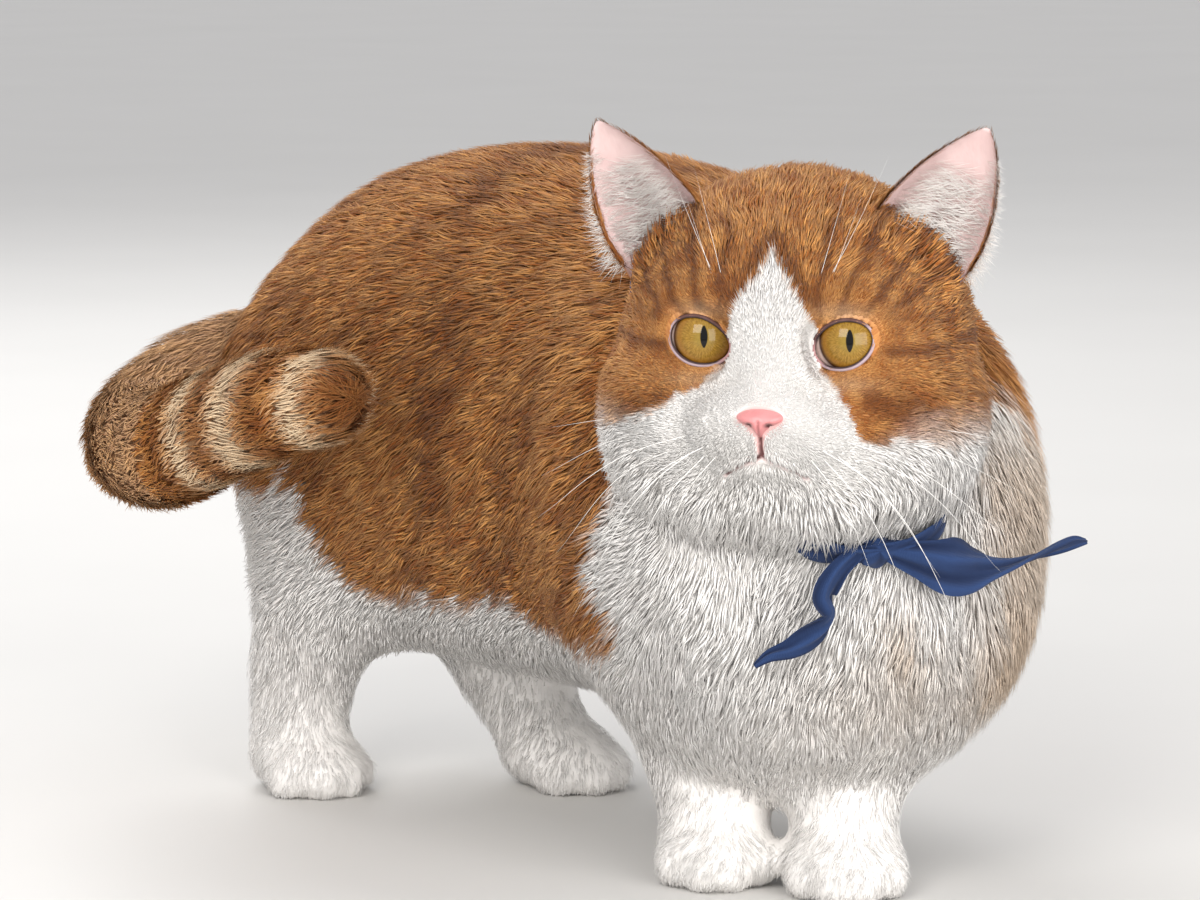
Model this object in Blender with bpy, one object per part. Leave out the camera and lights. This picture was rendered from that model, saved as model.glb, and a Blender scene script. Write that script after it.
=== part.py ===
"""A short-legged house cat that stands still and looks round to its right, with a neckerchief.

Metres, +Z up, +Y along the body towards the rump, +X to the animal's left.
The body is modelled whole from plain forms fused on a fine grid, and then parted with thin cuts.
The forms reach the outside of the short plush coat.
"""

import math

import bmesh
import bpy
import numpy as np
from mathutils import Matrix, Vector
from mathutils.bvhtree import BVHTree

# Cuts and fine meshes
GAP = 0.0003
FUSE_GRID = 0.0024
BODY_TRIANGLES = 3000
PAW_FREE_HEIGHT = 0.034
FINE_FADE = 0.02
FINE_FACE = ((0, 0.042, -0.008), 0.038)
SOFTEN_ALL = 4
SOFTEN_BROAD = 26
GROUND = ((0.02, 0.12, -0.05), (0.6, 0.8, 0.1))

# Trunk: name of the place, x, y, half width, underside, top of the back
TRUNK = (
    ("breast", -0.012, -0.020, 0.036, 0.050, 0.120),
    ("chest", 0.010, 0.003, 0.064, 0.030, 0.156),
    ("shoulder", 0.030, 0.027, 0.076, 0.026, 0.186),
    ("withers", 0.045, 0.062, 0.079, 0.031, 0.201),
    ("ribs", 0.053, 0.100, 0.077, 0.036, 0.208),
    ("belly", 0.048, 0.145, 0.075, 0.038, 0.215),
    ("loin", 0.035, 0.190, 0.071, 0.041, 0.214),
    ("hips", 0.020, 0.230, 0.059, 0.050, 0.202),
    ("rump", 0.006, 0.262, 0.044, 0.080, 0.174),
    ("tail root", 0.000, 0.277, 0.024, 0.105, 0.146),
)
TRUNK_SQUARENESS = 2.3

# Head: its centre, the way it faces, and forms given as (left, forward, up) from the centre
HEAD_CENTRE = Vector((0.002, -0.002, 0.163))
HEAD_YAW = math.radians(52)
CRANIUM = ((0.0, -0.002, 0.010), (0.053, 0.048, 0.049))
CHEEK = ((0.030, 0.008, -0.017), (0.031, 0.036, 0.032))
MUZZLE_PAD = ((0.0105, 0.041, -0.0155), (0.0145, 0.0145, 0.0115))
CHIN = ((0.0, 0.040, -0.0275), (0.0125, 0.0115, 0.0085))
JOWL = ((0.0, 0.008, -0.032), (0.050, 0.036, 0.023))
BROW = ((0.021, 0.031, 0.021), (0.016, 0.012, 0.008))
BRIDGE_TOP = (0.0, 0.034, 0.014)
BRIDGE_TIP = (0.0, 0.0455, -0.010)
BRIDGE_RADII = (0.013, 0.0085)
NECK_FOOT = Vector((0.034, 0.034, 0.128))
NECK_RADII = (0.050, 0.060)

EYE_PLACE = (0.0215, 0.0305, 0.0095)
EYE_RADIUS = 0.0108
EYE_OPENING = (0.0174, 0.0146)
OPENING_DEPTH = 0.040
OPENING_AHEAD = 0.014
LID_THICKNESS = 0.0014
NOSE_PLACE = (0.0, 0.0525, -0.0121)
NOSE_RADII = (0.0070, 0.0050, 0.0046)
NOSTRIL_PLACE = (0.0034, 0.0573, -0.0131)
NOSTRIL_RADII = (0.0011, 0.003, 0.0011)
MOUTH_POINTS = (
    (0.0, -0.0160),
    (0.0, -0.0212),
    (0.0045, -0.0238),
    (0.0088, -0.0260),
    (0.0115, -0.0278),
)
MOUTH_RADIUS = 0.0007
LIP_DROP = 0.0013
LIP_RADIUS = 0.0011
LIP_SINK = 0.0003
FACE_RAY_START = 0.12

# Ears, from the base on the skull to the tip, as (left, forward, up) from the head's centre
EAR_INNER = (0.0215, 0.010, 0.043)
EAR_OUTER = (0.0525, 0.004, 0.030)
EAR_TIP = (0.0570, 0.012, 0.0720)
EAR_DEPTH = 0.0105
EAR_WALL = 0.0016
EAR_ROOT_SINK = 0.33
EAR_CUP_START = 0.06
EAR_CUP_AHEAD = 0.55
EAR_TAPER = (1.45, 0.85)
EAR_LEAST = (0.03, 0.0004, 0.0003)
EAR_RINGS = 11
EAR_AROUND = 18

# Legs: paths with a radius at each point, and each paw's centre and heading
FRONT_HEADING = Vector((-0.616, -0.788, 0.0))
FRONT_RIGHT = (
    ((0.019, 0.052, 0.078), 0.027),
    ((0.009, 0.046, 0.045), 0.0265),
    ((0.006, 0.041, 0.024), 0.0185),
)
FRONT_LEFT = (
    ((0.040, 0.016, 0.078), 0.027),
    ((0.033, 0.010, 0.045), 0.0245),
    ((0.026, 0.003, 0.024), 0.0175),
)
HIND_RIGHT = (
    ((-0.004, 0.222, 0.082), 0.034),
    ((-0.016, 0.227, 0.048), 0.0225),
    ((-0.021, 0.227, 0.024), 0.0175),
)
HIND_LEFT = (
    ((0.056, 0.222, 0.082), 0.034),
    ((0.045, 0.206, 0.048), 0.0225),
    ((0.046, 0.184, 0.024), 0.0175),
)
THIGH_RADII = (0.034, 0.045, 0.050)
THIGHS = {"right": Vector((-0.004, 0.222, 0.100)), "left": Vector((0.054, 0.232, 0.104))}
PAWS = {
    "front_right": (Vector((0.001, 0.034, 0.0)), FRONT_HEADING),
    "front_left": (Vector((0.021, -0.003, 0.0)), FRONT_HEADING),
    "hind_right": (Vector((-0.024, 0.217, 0.0)), Vector((-0.10, -0.995, 0.0))),
    "hind_left": (Vector((0.046, 0.169, 0.0)), Vector((0.15, -0.989, 0.0))),
}
PAW_WIDTH = 0.037
PAW_LENGTH = 0.048
PAW_HEIGHT = 0.027
TOE_RADIUS = 0.0085
SOLE_SINK = 0.0022
PAD_BACK = 0.003
PAD_SHORT = 0.002
TOE_LIFT = 0.0005
TOE_SLOTS = (-1.5, -0.5, 0.5, 1.5)
TOE_SHAPE = (0.72, 1.35, 1.05)
OUTER_TOE_BACK = 0.007
OUTER_TOE_SIZE = 0.92

# Tail: the middle line's points with a radius at each
TAIL = (
    ((0.002, 0.262, 0.142), 0.018),
    ((-0.012, 0.283, 0.136), 0.020),
    ((-0.036, 0.284, 0.122), 0.0215),
    ((-0.056, 0.266, 0.113), 0.0225),
    ((-0.065, 0.236, 0.115), 0.0225),
    ((-0.067, 0.206, 0.126), 0.0215),
    ((-0.065, 0.176, 0.136), 0.0205),
    ((-0.063, 0.150, 0.141), 0.019),
)

# Where the body is parted
WRIST_HEIGHT = 0.024
PAW_SPACE = {"front": 0.0382, "hind": 0.050}
PAW_REGION_LENGTH = 0.076
PAW_REGION_BELOW = 0.010
LEG_REGION_DOWN = 0.03
SIDE_BLOCK = (0.4, 0.3, 0.5)
LEG_REGION_RADIUS = 0.027
THIGH_REGION_RADII = (0.040, 0.049, 0.055)
THIGH_REGION_OUT = 0.010
HEAD_REGION = ((0.0, 0.022, 0.023), (0.078, 0.080, 0.085))
NECK_REGION = ((0.0, -0.020, -0.010), (0.070, 0.075, 0.078))
TAIL_TIP_REGION = ((-0.065, 0.135, 0.140), (0.090, 0.120, 0.100))
TAIL_MIDDLE_REGION = ((-0.095, 0.250, 0.120), (0.100, 0.140, 0.120))

# Neckerchief: the band's middle line at the throat and at the nape, the knot and the two ends
BAND_LINE = ((-0.003, -0.030, 0.1115), (0.052, 0.052, 0.192))
BAND_WIDTH = 0.010
BAND_THICKNESS = 0.0026
BAND_PROUD = 0.0006
KNOT_PLACE = (0.0035, -0.0385, 0.1080)
KNOT_FACING = (-0.5, -0.86, 0.0)
KNOT_RADII = (0.0085, 0.0055, 0.0065)
KERCHIEF_ENDS = {
    "kerchief_end_low": (
        (
            ((-0.0060, -0.0310, 0.1075), 0.0025, 0.0018, 0),
            ((-0.0100, -0.0270, 0.1000), 0.0038, 0.0018, 20),
            ((-0.0095, -0.0275, 0.0930), 0.0042, 0.0017, 45),
            ((-0.0145, -0.0235, 0.0850), 0.0036, 0.0016, 10),
            ((-0.0200, -0.0180, 0.0785), 0.0030, 0.0014, -20),
            ((-0.0260, -0.0130, 0.0745), 0.0010, 0.0009, -30),
        ),
        (-0.62, -0.78, 0.0),
    ),
    "kerchief_end_side": (
        (
            ((0.0060, -0.0405, 0.1085), 0.0030, 0.0020, 0),
            ((0.0130, -0.0450, 0.1070), 0.0062, 0.0020, 0),
            ((0.0250, -0.0475, 0.1045), 0.0075, 0.0018, 5),
            ((0.0400, -0.0480, 0.1045), 0.0058, 0.0018, 15),
            ((0.0560, -0.0470, 0.1045), 0.0032, 0.0020, 50),
            ((0.0690, -0.0450, 0.1060), 0.0024, 0.0018, 80),
            ((0.0790, -0.0440, 0.1070), 0.0009, 0.0009, 80),
        ),
        (-0.30, -0.95, 0.1),
    ),
}

# Ears turn outwards from straight ahead, and the slits of the eyes rise outwards
EAR_TURN = math.radians(18)
EYE_SLANT = math.radians(12)
SHARP_ANGLE = math.radians(40)

FINISHES = {
    "head": "ginger",
    "neck": "ginger",
    "torso": "ginger",
    "tail": "ginger",
    "ear": "ginger",
    "leg": "white",
    "paw": "white",
    "nose": "nose pink",
    "eye": "amber",
    "kerchief": "blue cloth",
}
ROUGHNESS = {"ginger": 0.85, "white": 0.85, "nose pink": 0.45, "amber": 0.08, "blue cloth": 0.8}
COLOURS = {
    "ginger": (0.43, 0.13, 0.025),
    "white": (0.83, 0.82, 0.79),
    "nose pink": (0.75, 0.27, 0.29),
    "amber": (0.32, 0.17, 0.02),
    "blue cloth": (0.027, 0.062, 0.200),
}


def clear_scene():
    """Remove whatever the scene holds."""
    for thing in list(bpy.data.objects):
        bpy.data.objects.remove(thing, do_unlink=True)


def add_object(name, mesh):
    """Put a mesh into the scene as an object."""
    thing = bpy.data.objects.new(name, mesh)
    bpy.context.scene.collection.objects.link(thing)
    return thing


def mesh_object(name, points, faces):
    """An object from points and faces, with its faces turned outwards."""
    mesh = bpy.data.meshes.new(name)
    mesh.from_pydata([tuple(p) for p in points], [], [tuple(int(i) for i in f) for f in faces])
    thing = add_object(name, mesh)
    turn_outwards(thing)
    return thing


def turn_outwards(thing):
    """Turn every face of a closed mesh outwards."""
    form = bmesh.new()
    form.from_mesh(thing.data)
    bmesh.ops.recalc_face_normals(form, faces=form.faces)
    if form.calc_volume(signed=True) < 0:
        bmesh.ops.reverse_faces(form, faces=form.faces)
    form.to_mesh(thing.data)
    form.free()


def apply_modifiers(thing):
    """Replace the object's mesh by the one that its modifiers make."""
    graph = bpy.context.evaluated_depsgraph_get()
    made = bpy.data.meshes.new_from_object(thing.evaluated_get(graph))
    thing.modifiers.clear()
    thing.data = made


def keep_largest(thing):
    """Keep only the closed surface that holds the greatest volume."""
    form = bmesh.new()
    form.from_mesh(thing.data)
    bmesh.ops.triangulate(form, faces=form.faces)
    left = set(form.verts)
    shells = []
    while left:
        seed = left.pop()
        shell = {seed}
        edge = [seed]
        while edge:
            point = edge.pop()
            for link in point.link_edges:
                other = link.other_vert(point)
                if other not in shell:
                    shell.add(other)
                    edge.append(other)
        left -= shell
        shells.append(shell)

    def volume(shell):
        faces = {f for v in shell for f in v.link_faces}
        return sum(f.verts[0].co.dot(f.verts[1].co.cross(f.verts[2].co)) for f in faces)

    shells.sort(key=volume)
    for shell in shells[:-1]:
        bmesh.ops.delete(form, geom=list(shell), context="VERTS")
    form.to_mesh(thing.data)
    form.free()


def boolean(thing, cutter, operation, keep_cutter=False):
    """Cut, meet or join the object with a closed cutter, and keep the largest closed surface."""
    for solver in ("EXACT", "MANIFOLD"):
        step = thing.modifiers.new("cut", "BOOLEAN")
        step.operation = operation
        step.object = cutter
        step.solver = solver
        before = thing.data
        apply_modifiers(thing)
        if is_closed(thing.data):
            break
        thing.data = before
    keep_largest(thing)
    if not keep_cutter:
        bpy.data.objects.remove(cutter, do_unlink=True)


def is_closed(mesh):
    """True where each edge has two faces and there is something left."""
    form = bmesh.new()
    form.from_mesh(mesh)
    closed = len(form.faces) > 0 and all(len(e.link_faces) == 2 for e in form.edges)
    form.free()
    return closed


def copy_of(thing, name):
    """A copy with a mesh of its own."""
    twin = add_object(name, thing.data.copy())
    twin.matrix_world = thing.matrix_world.copy()
    return twin


def swollen(thing, name, by):
    """A copy whose surface lies further out by a small distance."""
    twin = copy_of(thing, name)
    form = bmesh.new()
    form.from_mesh(twin.data)
    form.normal_update()
    for point in form.verts:
        point.co += point.normal * by
    form.to_mesh(twin.data)
    form.free()
    return twin


def spline(values, count):
    """Points on a smooth curve through every row of values (Catmull-Rom, any number of columns)."""
    rows = np.array(values, float)
    rows = np.vstack([2 * rows[0] - rows[1], rows, 2 * rows[-1] - rows[-2]])
    at = np.linspace(0, len(rows) - 3, count)
    first = np.minimum(at.astype(int), len(rows) - 4)
    t = (at - first)[:, None]
    p0, p1, p2, p3 = (rows[first + k] for k in range(4))
    square = 2 * p0 - 5 * p1 + 4 * p2 - p3
    cube = 3 * p1 - p0 - 3 * p2 + p3
    return 0.5 * (2 * p1 + (p2 - p0) * t + square * t**2 + cube * t**3)


def loft(name, rings):
    """A closed skin over rings of equally many points, with a fan of faces over each end."""
    rings = np.asarray(rings)
    count, around = rings.shape[:2]
    points = list(rings.reshape(-1, 3)) + [rings[0].mean(axis=0), rings[-1].mean(axis=0)]
    faces = []
    for i in range(count - 1):
        for j in range(around):
            k = (j + 1) % around
            faces.append((i * around + j, i * around + k, (i + 1) * around + k, (i + 1) * around + j))
    first, last = count * around, count * around + 1
    for j in range(around):
        k = (j + 1) % around
        faces.append((first, k, j))
        faces.append((last, (count - 1) * around + j, (count - 1) * around + k))
    return mesh_object(name, points, faces)


def frames_along(line):
    """Two directions across a line at each of its points, carried along with as little twist as can be."""
    ahead = np.gradient(line, axis=0)
    ahead /= np.linalg.norm(ahead, axis=1, keepdims=True)
    side = np.cross(ahead[0], (0.0, 0.0, 1.0) if abs(ahead[0][2]) < 0.9 else (0.0, 1.0, 0.0))
    sides = []
    for way in ahead:
        side = side - way * side.dot(way)
        side = side / np.linalg.norm(side)
        sides.append(side)
    sides = np.array(sides)
    return sides, np.cross(ahead, sides)


def tube(name, path, around=28, steps=36, round_ends=True):
    """A round tube whose radius runs smoothly through those given with the path's points."""
    rows = spline([(*place, radius) for place, radius in path], steps)
    line, radius = rows[:, :3], rows[:, 3]
    if round_ends:
        quarter = np.linspace(0, math.pi / 2, 7)[1:]
        start_way = (line[0] - line[1]) / np.linalg.norm(line[0] - line[1])
        end_way = (line[-1] - line[-2]) / np.linalg.norm(line[-1] - line[-2])
        start = line[0] + radius[0] * np.sin(quarter)[::-1, None] * start_way
        end = line[-1] + radius[-1] * np.sin(quarter)[:, None] * end_way
        small = 0.02
        start_radius = radius[0] * np.maximum(np.cos(quarter)[::-1], small)
        end_radius = radius[-1] * np.maximum(np.cos(quarter), small)
        line = np.vstack([start, line, end])
        radius = np.concatenate([start_radius, radius, end_radius])
    side, up = frames_along(line)
    turn = np.linspace(0, 2 * math.pi, around, endpoint=False)[None, :, None]
    circle = np.cos(turn) * side[:, None] + np.sin(turn) * up[:, None]
    return loft(name, line[:, None] + radius[:, None, None] * circle)


def ellipsoid(name, centre, radii, turn=None, level=4):
    """An ellipsoid with its axes turned by a 3 by 3 matrix."""
    form = bmesh.new()
    bmesh.ops.create_icosphere(form, subdivisions=level, radius=1)
    shape = (turn or Matrix.Identity(3)).to_4x4() @ Matrix.Diagonal((*radii, 1))
    bmesh.ops.transform(form, matrix=Matrix.Translation(centre) @ shape, verts=form.verts)
    mesh = bpy.data.meshes.new(name)
    form.to_mesh(mesh)
    form.free()
    return add_object(name, mesh)


def block(name, centre, sizes, turn=None):
    """A box with its axes turned by a 3 by 3 matrix."""
    form = bmesh.new()
    bmesh.ops.create_cube(form, size=1)
    shape = (turn or Matrix.Identity(3)).to_4x4() @ Matrix.Diagonal((*sizes, 1))
    bmesh.ops.transform(form, matrix=Matrix.Translation(centre) @ shape, verts=form.verts)
    mesh = bpy.data.meshes.new(name)
    form.to_mesh(mesh)
    form.free()
    return add_object(name, mesh)


def axes_along(way):
    """A turn that puts the local Y axis along a direction and keeps X level."""
    ahead = Vector(way).normalized()
    left = ahead.cross(Vector((0, 0, 1))).normalized()
    return Matrix((left, ahead, left.cross(ahead))).transposed()


def joined(name, things):
    """All the given closed forms in one mesh, still overlapping."""
    form = bmesh.new()
    for thing in things:
        form.from_mesh(thing.data)
        bpy.data.objects.remove(thing, do_unlink=True)
    mesh = bpy.data.meshes.new(name)
    form.to_mesh(mesh)
    form.free()
    return add_object(name, mesh)


def fuse(thing, grid):
    """Make overlapping forms one closed skin on a fine grid."""
    step = thing.modifiers.new("fuse", "REMESH")
    step.mode = "VOXEL"
    step.voxel_size = grid
    apply_modifiers(thing)


def soften(thing, rounds, weight=None):
    """Even out the skin, with a strength at each point where one is given."""
    step = thing.modifiers.new("soften", "SMOOTH")
    step.factor = 0.5
    step.iterations = rounds
    if weight is not None:
        group = thing.vertex_groups.new(name="soft")
        places = np.empty(len(thing.data.vertices) * 3)
        thing.data.vertices.foreach_get("co", places)
        strengths = np.round(weight(places.reshape(-1, 3)), 2)
        for strength in np.unique(strengths):
            members = np.flatnonzero(strengths == strength)
            group.add([int(i) for i in members], float(strength), "REPLACE")
        step.vertex_group = "soft"
    apply_modifiers(thing)
    thing.vertex_groups.clear()


def thin_out(thing, triangles):
    """Lower the number of triangles, most where the skin is flattest."""
    form = bmesh.new()
    form.from_mesh(thing.data)
    bmesh.ops.triangulate(form, faces=form.faces)
    form.to_mesh(thing.data)
    form.free()
    step = thing.modifiers.new("thin", "DECIMATE")
    step.ratio = triangles / len(thing.data.polygons)
    apply_modifiers(thing)


UP = Vector((0, 0, 1))
HEAD_AHEAD = Vector((-math.sin(HEAD_YAW), -math.cos(HEAD_YAW), 0))
HEAD_LEFT = UP.cross(HEAD_AHEAD)
HEAD_TURN = Matrix((HEAD_LEFT, -HEAD_AHEAD, UP)).transposed()


def on_head(place, side=1):
    """A point given as (left, forward, up) from the head's centre, mirrored where side is -1."""
    left, ahead, up = place
    return HEAD_CENTRE + HEAD_LEFT * (left * side) + HEAD_AHEAD * ahead + Vector((0, 0, up))


def head_form(name, form, side=1):
    """An ellipsoid that lies along the head's own axes."""
    place, radii = form
    return ellipsoid(name, on_head(place, side), radii, HEAD_TURN)


def trunk():
    """Upright rounded sections along the bent line of the spine."""
    rows = spline([row[1:] for row in TRUNK], 56)
    ahead = np.gradient(rows[:, :2], axis=0)
    ahead /= np.linalg.norm(ahead, axis=1, keepdims=True)
    across = np.stack([ahead[:, 1], -ahead[:, 0], np.zeros(len(rows))], axis=1)
    turn = np.linspace(0, 2 * math.pi, 48, endpoint=False)
    power = 2 / TRUNK_SQUARENESS
    wide = np.sign(np.cos(turn)) * np.abs(np.cos(turn)) ** power
    tall = np.sign(np.sin(turn)) * np.abs(np.sin(turn)) ** power
    middle = np.column_stack([rows[:, :2], rows[:, 3:].mean(axis=1)])
    half_height = (rows[:, 4] - rows[:, 3]) / 2
    rings = middle[:, None] + rows[:, 2][:, None, None] * wide[None, :, None] * across[:, None]
    rings[:, :, 2] += half_height[:, None] * tall[None]
    return loft("trunk", rings)


def head_forms():
    """Skull, cheeks, jowls, brow, bridge of the nose, muzzle and chin."""
    forms = [head_form("cranium", CRANIUM), head_form("chin", CHIN), head_form("jowl", JOWL)]
    for side in (1, -1):
        forms.append(head_form("cheek", CHEEK, side))
        forms.append(head_form("brow", BROW, side))
        forms.append(head_form("pad", MUZZLE_PAD, side))
    bridge = [(on_head(BRIDGE_TOP), BRIDGE_RADII[0]), (on_head(BRIDGE_TIP), BRIDGE_RADII[1])]
    forms.append(tube("bridge", bridge, steps=10))
    return forms


def paw_forms(name):
    """A rounded paw with four toes fanned across its front."""
    centre, heading = PAWS[name]
    turn = axes_along(heading)
    across, ahead = turn.col[0].copy(), turn.col[1].copy()
    up = Vector((0, 0, 1))
    pad = centre - ahead * PAD_BACK + up * (PAW_HEIGHT / 2 - SOLE_SINK)
    pad_radii = (PAW_WIDTH / 2, PAW_LENGTH / 2 - PAD_SHORT, PAW_HEIGHT / 2)
    forms = [ellipsoid("pad", pad, pad_radii, turn)]
    reach = PAW_LENGTH / 2 - TOE_RADIUS
    for slot in TOE_SLOTS:
        outer = abs(slot) > 1
        place = centre + across * (slot * PAW_WIDTH / len(TOE_SLOTS))
        place += up * (TOE_RADIUS + TOE_LIFT - SOLE_SINK)
        place += ahead * (reach - (OUTER_TOE_BACK if outer else 0.0))
        size = TOE_RADIUS * (OUTER_TOE_SIZE if outer else 1.0)
        forms.append(ellipsoid("toe", place, [size * share for share in TOE_SHAPE], turn))
    return forms


def broad_weight(places):
    """Where the skin is evened out strongly: not on the paws and the face."""
    low = np.clip((places[:, 2] - PAW_FREE_HEIGHT) / FINE_FADE, 0, 1)
    from_face = np.linalg.norm(places - np.array(on_head(FINE_FACE[0])), axis=1)
    far = np.clip((from_face - FINE_FACE[1]) / FINE_FADE, 0, 1)
    return low * far


def whole_body():
    """The body without tail and ears, as one skin."""
    forms = [trunk()] + head_forms()
    neck = [(HEAD_CENTRE - HEAD_AHEAD * 0.01, NECK_RADII[0]), (NECK_FOOT, NECK_RADII[1])]
    forms.append(tube("neck form", neck, steps=12))
    for path in (FRONT_RIGHT, FRONT_LEFT, HIND_RIGHT, HIND_LEFT):
        forms.append(tube("leg form", path, steps=20))
    for centre in THIGHS.values():
        forms.append(ellipsoid("thigh", centre, THIGH_RADII))
    for name in PAWS:
        forms.extend(paw_forms(name))
    body = joined("body", forms)
    fuse(body, FUSE_GRID)
    soften(body, SOFTEN_ALL)
    soften(body, SOFTEN_BROAD, broad_weight)
    thin_out(body, BODY_TRIANGLES)
    boolean(body, block("ground", *GROUND), "DIFFERENCE")
    return body


def part_off(rest, region, name):
    """Take the region's share of the body as a node and leave a thin gap to the rest."""
    piece = copy_of(rest, name)
    boolean(piece, region(0.0), "INTERSECT")
    boolean(rest, region(GAP), "DIFFERENCE")
    return piece


def paw_region(name):
    """A box round one paw, up to the wrist or hock."""
    centre, heading = PAWS[name]
    width = PAW_SPACE["front" if name.startswith("front") else "hind"]

    def region(grow):
        middle = Vector((centre.x, centre.y, (WRIST_HEIGHT - PAW_REGION_BELOW) / 2))
        sizes = (width, PAW_REGION_LENGTH, WRIST_HEIGHT + PAW_REGION_BELOW)
        return block("paw region", middle, [size + 2 * grow for size in sizes], axes_along(heading))

    return region


def leg_region(path, side_point, outward, thigh=None):
    """A fat tube round the leg, with the thigh where there is one, on its own side of the midline."""

    def region(grow):
        wide = [(Vector(place), LEG_REGION_RADIUS + grow) for place, _ in path]
        wide.append((Vector(path[-1][0]) - UP * LEG_REGION_DOWN, LEG_REGION_RADIUS + grow))
        form = tube("leg region", wide, around=16, steps=7)
        if thigh is not None:
            radii = [radius + grow for radius in THIGH_REGION_RADII]
            boolean(form, ellipsoid("thigh region", thigh, radii, level=2), "UNION")
        away = Vector(outward).normalized()
        middle = side_point + away * (SIDE_BLOCK[1] / 2 - grow + GAP / 2)
        turn = axes_along(away)
        boolean(form, block("side", middle, SIDE_BLOCK, turn), "INTERSECT")
        return form

    return region


def legs_and_paws(rest):
    """Part the paws and then the legs from the body."""
    nodes = {}
    for name in PAWS:
        nodes["paw_" + name] = part_off(rest, paw_region(name), "paw_" + name)
    front_middle = (Vector(FRONT_RIGHT[1][0]) + Vector(FRONT_LEFT[1][0])) / 2
    across = Vector(FRONT_LEFT[1][0]) - Vector(FRONT_RIGHT[1][0])
    across.z = 0
    hind_middle = (THIGHS["right"] + THIGHS["left"]) / 2
    hips = THIGHS["left"] - THIGHS["right"]
    hips.z = 0
    hips.normalize()
    plans = {
        "leg_front_right": (FRONT_RIGHT, front_middle, -across, None),
        "leg_front_left": (FRONT_LEFT, front_middle, across, None),
        "leg_hind_right": (HIND_RIGHT, hind_middle, -hips, THIGHS["right"] - hips * THIGH_REGION_OUT),
        "leg_hind_left": (HIND_LEFT, hind_middle, hips, THIGHS["left"] + hips * THIGH_REGION_OUT),
    }
    for name, plan in plans.items():
        nodes[name] = part_off(rest, leg_region(*plan), name)
    return nodes


def head_and_neck(rest):
    """Part the head by a ball round it, and the neck by a second ball behind."""

    def head_region(grow):
        place, radii = HEAD_REGION
        return ellipsoid("head region", on_head(place), [r + grow for r in radii], HEAD_TURN, level=2)

    def neck_region(grow):
        place, radii = NECK_REGION
        return ellipsoid("neck region", on_head(place), [r + grow for r in radii], HEAD_TURN, level=2)

    return {
        "head": part_off(rest, head_region, "head"),
        "neck": part_off(rest, neck_region, "neck"),
    }


def face_point(tree, left, up):
    """The place where a ray from the front meets the face."""
    start = on_head((left, FACE_RAY_START, up))
    return tree.ray_cast(start, -HEAD_AHEAD)[0]


def add_lids(head, side):
    """Raise the lids round one eye, hollow the socket and open the slit between the lids."""
    centre = on_head(EYE_PLACE, side)
    shell = EYE_RADIUS + GAP + LID_THICKNESS
    boolean(head, ellipsoid("lid", centre, (shell,) * 3, level=3), "UNION")
    socket = ellipsoid("socket", centre, (EYE_RADIUS + GAP,) * 3, HEAD_TURN, level=3)
    turn = HEAD_TURN @ Matrix.Rotation(-side * EYE_SLANT, 3, "Y")
    half = (EYE_OPENING[0] / 2, OPENING_DEPTH / 2, EYE_OPENING[1] / 2)
    opening = ellipsoid("opening", centre + HEAD_AHEAD * OPENING_AHEAD, half, turn, level=3)
    boolean(socket, opening, "UNION")
    boolean(head, socket, "DIFFERENCE")


def add_mouth(head):
    """Raise the lower lip and press in the line of the mouth."""
    tree = BVHTree.FromObject(head, bpy.context.evaluated_depsgraph_get())
    corner = MOUTH_POINTS[1:]
    both = [(-left, up) for left, up in reversed(corner[1:])] + list(corner)
    sink = HEAD_AHEAD * LIP_SINK
    lip = [(face_point(tree, left, up - LIP_DROP) - sink, LIP_RADIUS) for left, up in both]
    line = [(face_point(tree, left, up), MOUTH_RADIUS) for left, up in both]
    groove = [(face_point(tree, left, up), MOUTH_RADIUS) for left, up in MOUTH_POINTS[:2]]
    boolean(head, tube("lip", lip, around=6, steps=12), "UNION")
    boolean(head, tube("mouth line", line, around=6, steps=16), "DIFFERENCE")
    boolean(head, tube("groove", groove, around=8, steps=4), "DIFFERENCE")


def nose_leather(head):
    """The bare tip of the nose with its two nostrils, seated on the muzzle."""
    nose = ellipsoid("nose", on_head(NOSE_PLACE), NOSE_RADII, HEAD_TURN, level=2)
    boolean(nose, swollen(head, "muzzle", GAP), "DIFFERENCE")
    for side in (1, -1):
        place = on_head(NOSTRIL_PLACE, side)
        hole = ellipsoid("nostril", place, NOSTRIL_RADII, HEAD_TURN, level=2)
        boolean(nose, hole, "DIFFERENCE")
    return nose


def ear_rings(side, shrink, forward, low):
    """Oval rings from the root to the tip, as wide as the base and narrowing to the tip."""
    inner, outer, tip = (np.array(on_head(place, side)) for place in (EAR_INNER, EAR_OUTER, EAR_TIP))
    base = (inner + outer) / 2
    wide = outer - inner
    half_width = np.linalg.norm(wide) / 2
    wide = wide / np.linalg.norm(wide)
    rise = tip - base
    facing = np.array(HEAD_AHEAD) * math.cos(EAR_TURN) + np.array(HEAD_LEFT) * side * math.sin(EAR_TURN)
    facing -= wide * facing.dot(wide)
    facing /= np.linalg.norm(facing)
    share = np.linspace(low, 1.0, EAR_RINGS)
    taper = np.clip(1 - np.maximum(share, 0) ** EAR_TAPER[0], EAR_LEAST[0], 1) ** EAR_TAPER[1]
    centre = base + share[:, None] * rise + (forward * taper)[:, None] * facing
    turn = np.linspace(0, 2 * math.pi, EAR_AROUND, endpoint=False)[None, :, None]
    across = (half_width * taper - shrink).clip(EAR_LEAST[1])[:, None, None]
    deep = (EAR_DEPTH * taper - shrink).clip(EAR_LEAST[2])[:, None, None]
    return centre[:, None] + across * np.cos(turn) * wide + deep * np.sin(turn) * facing


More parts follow.
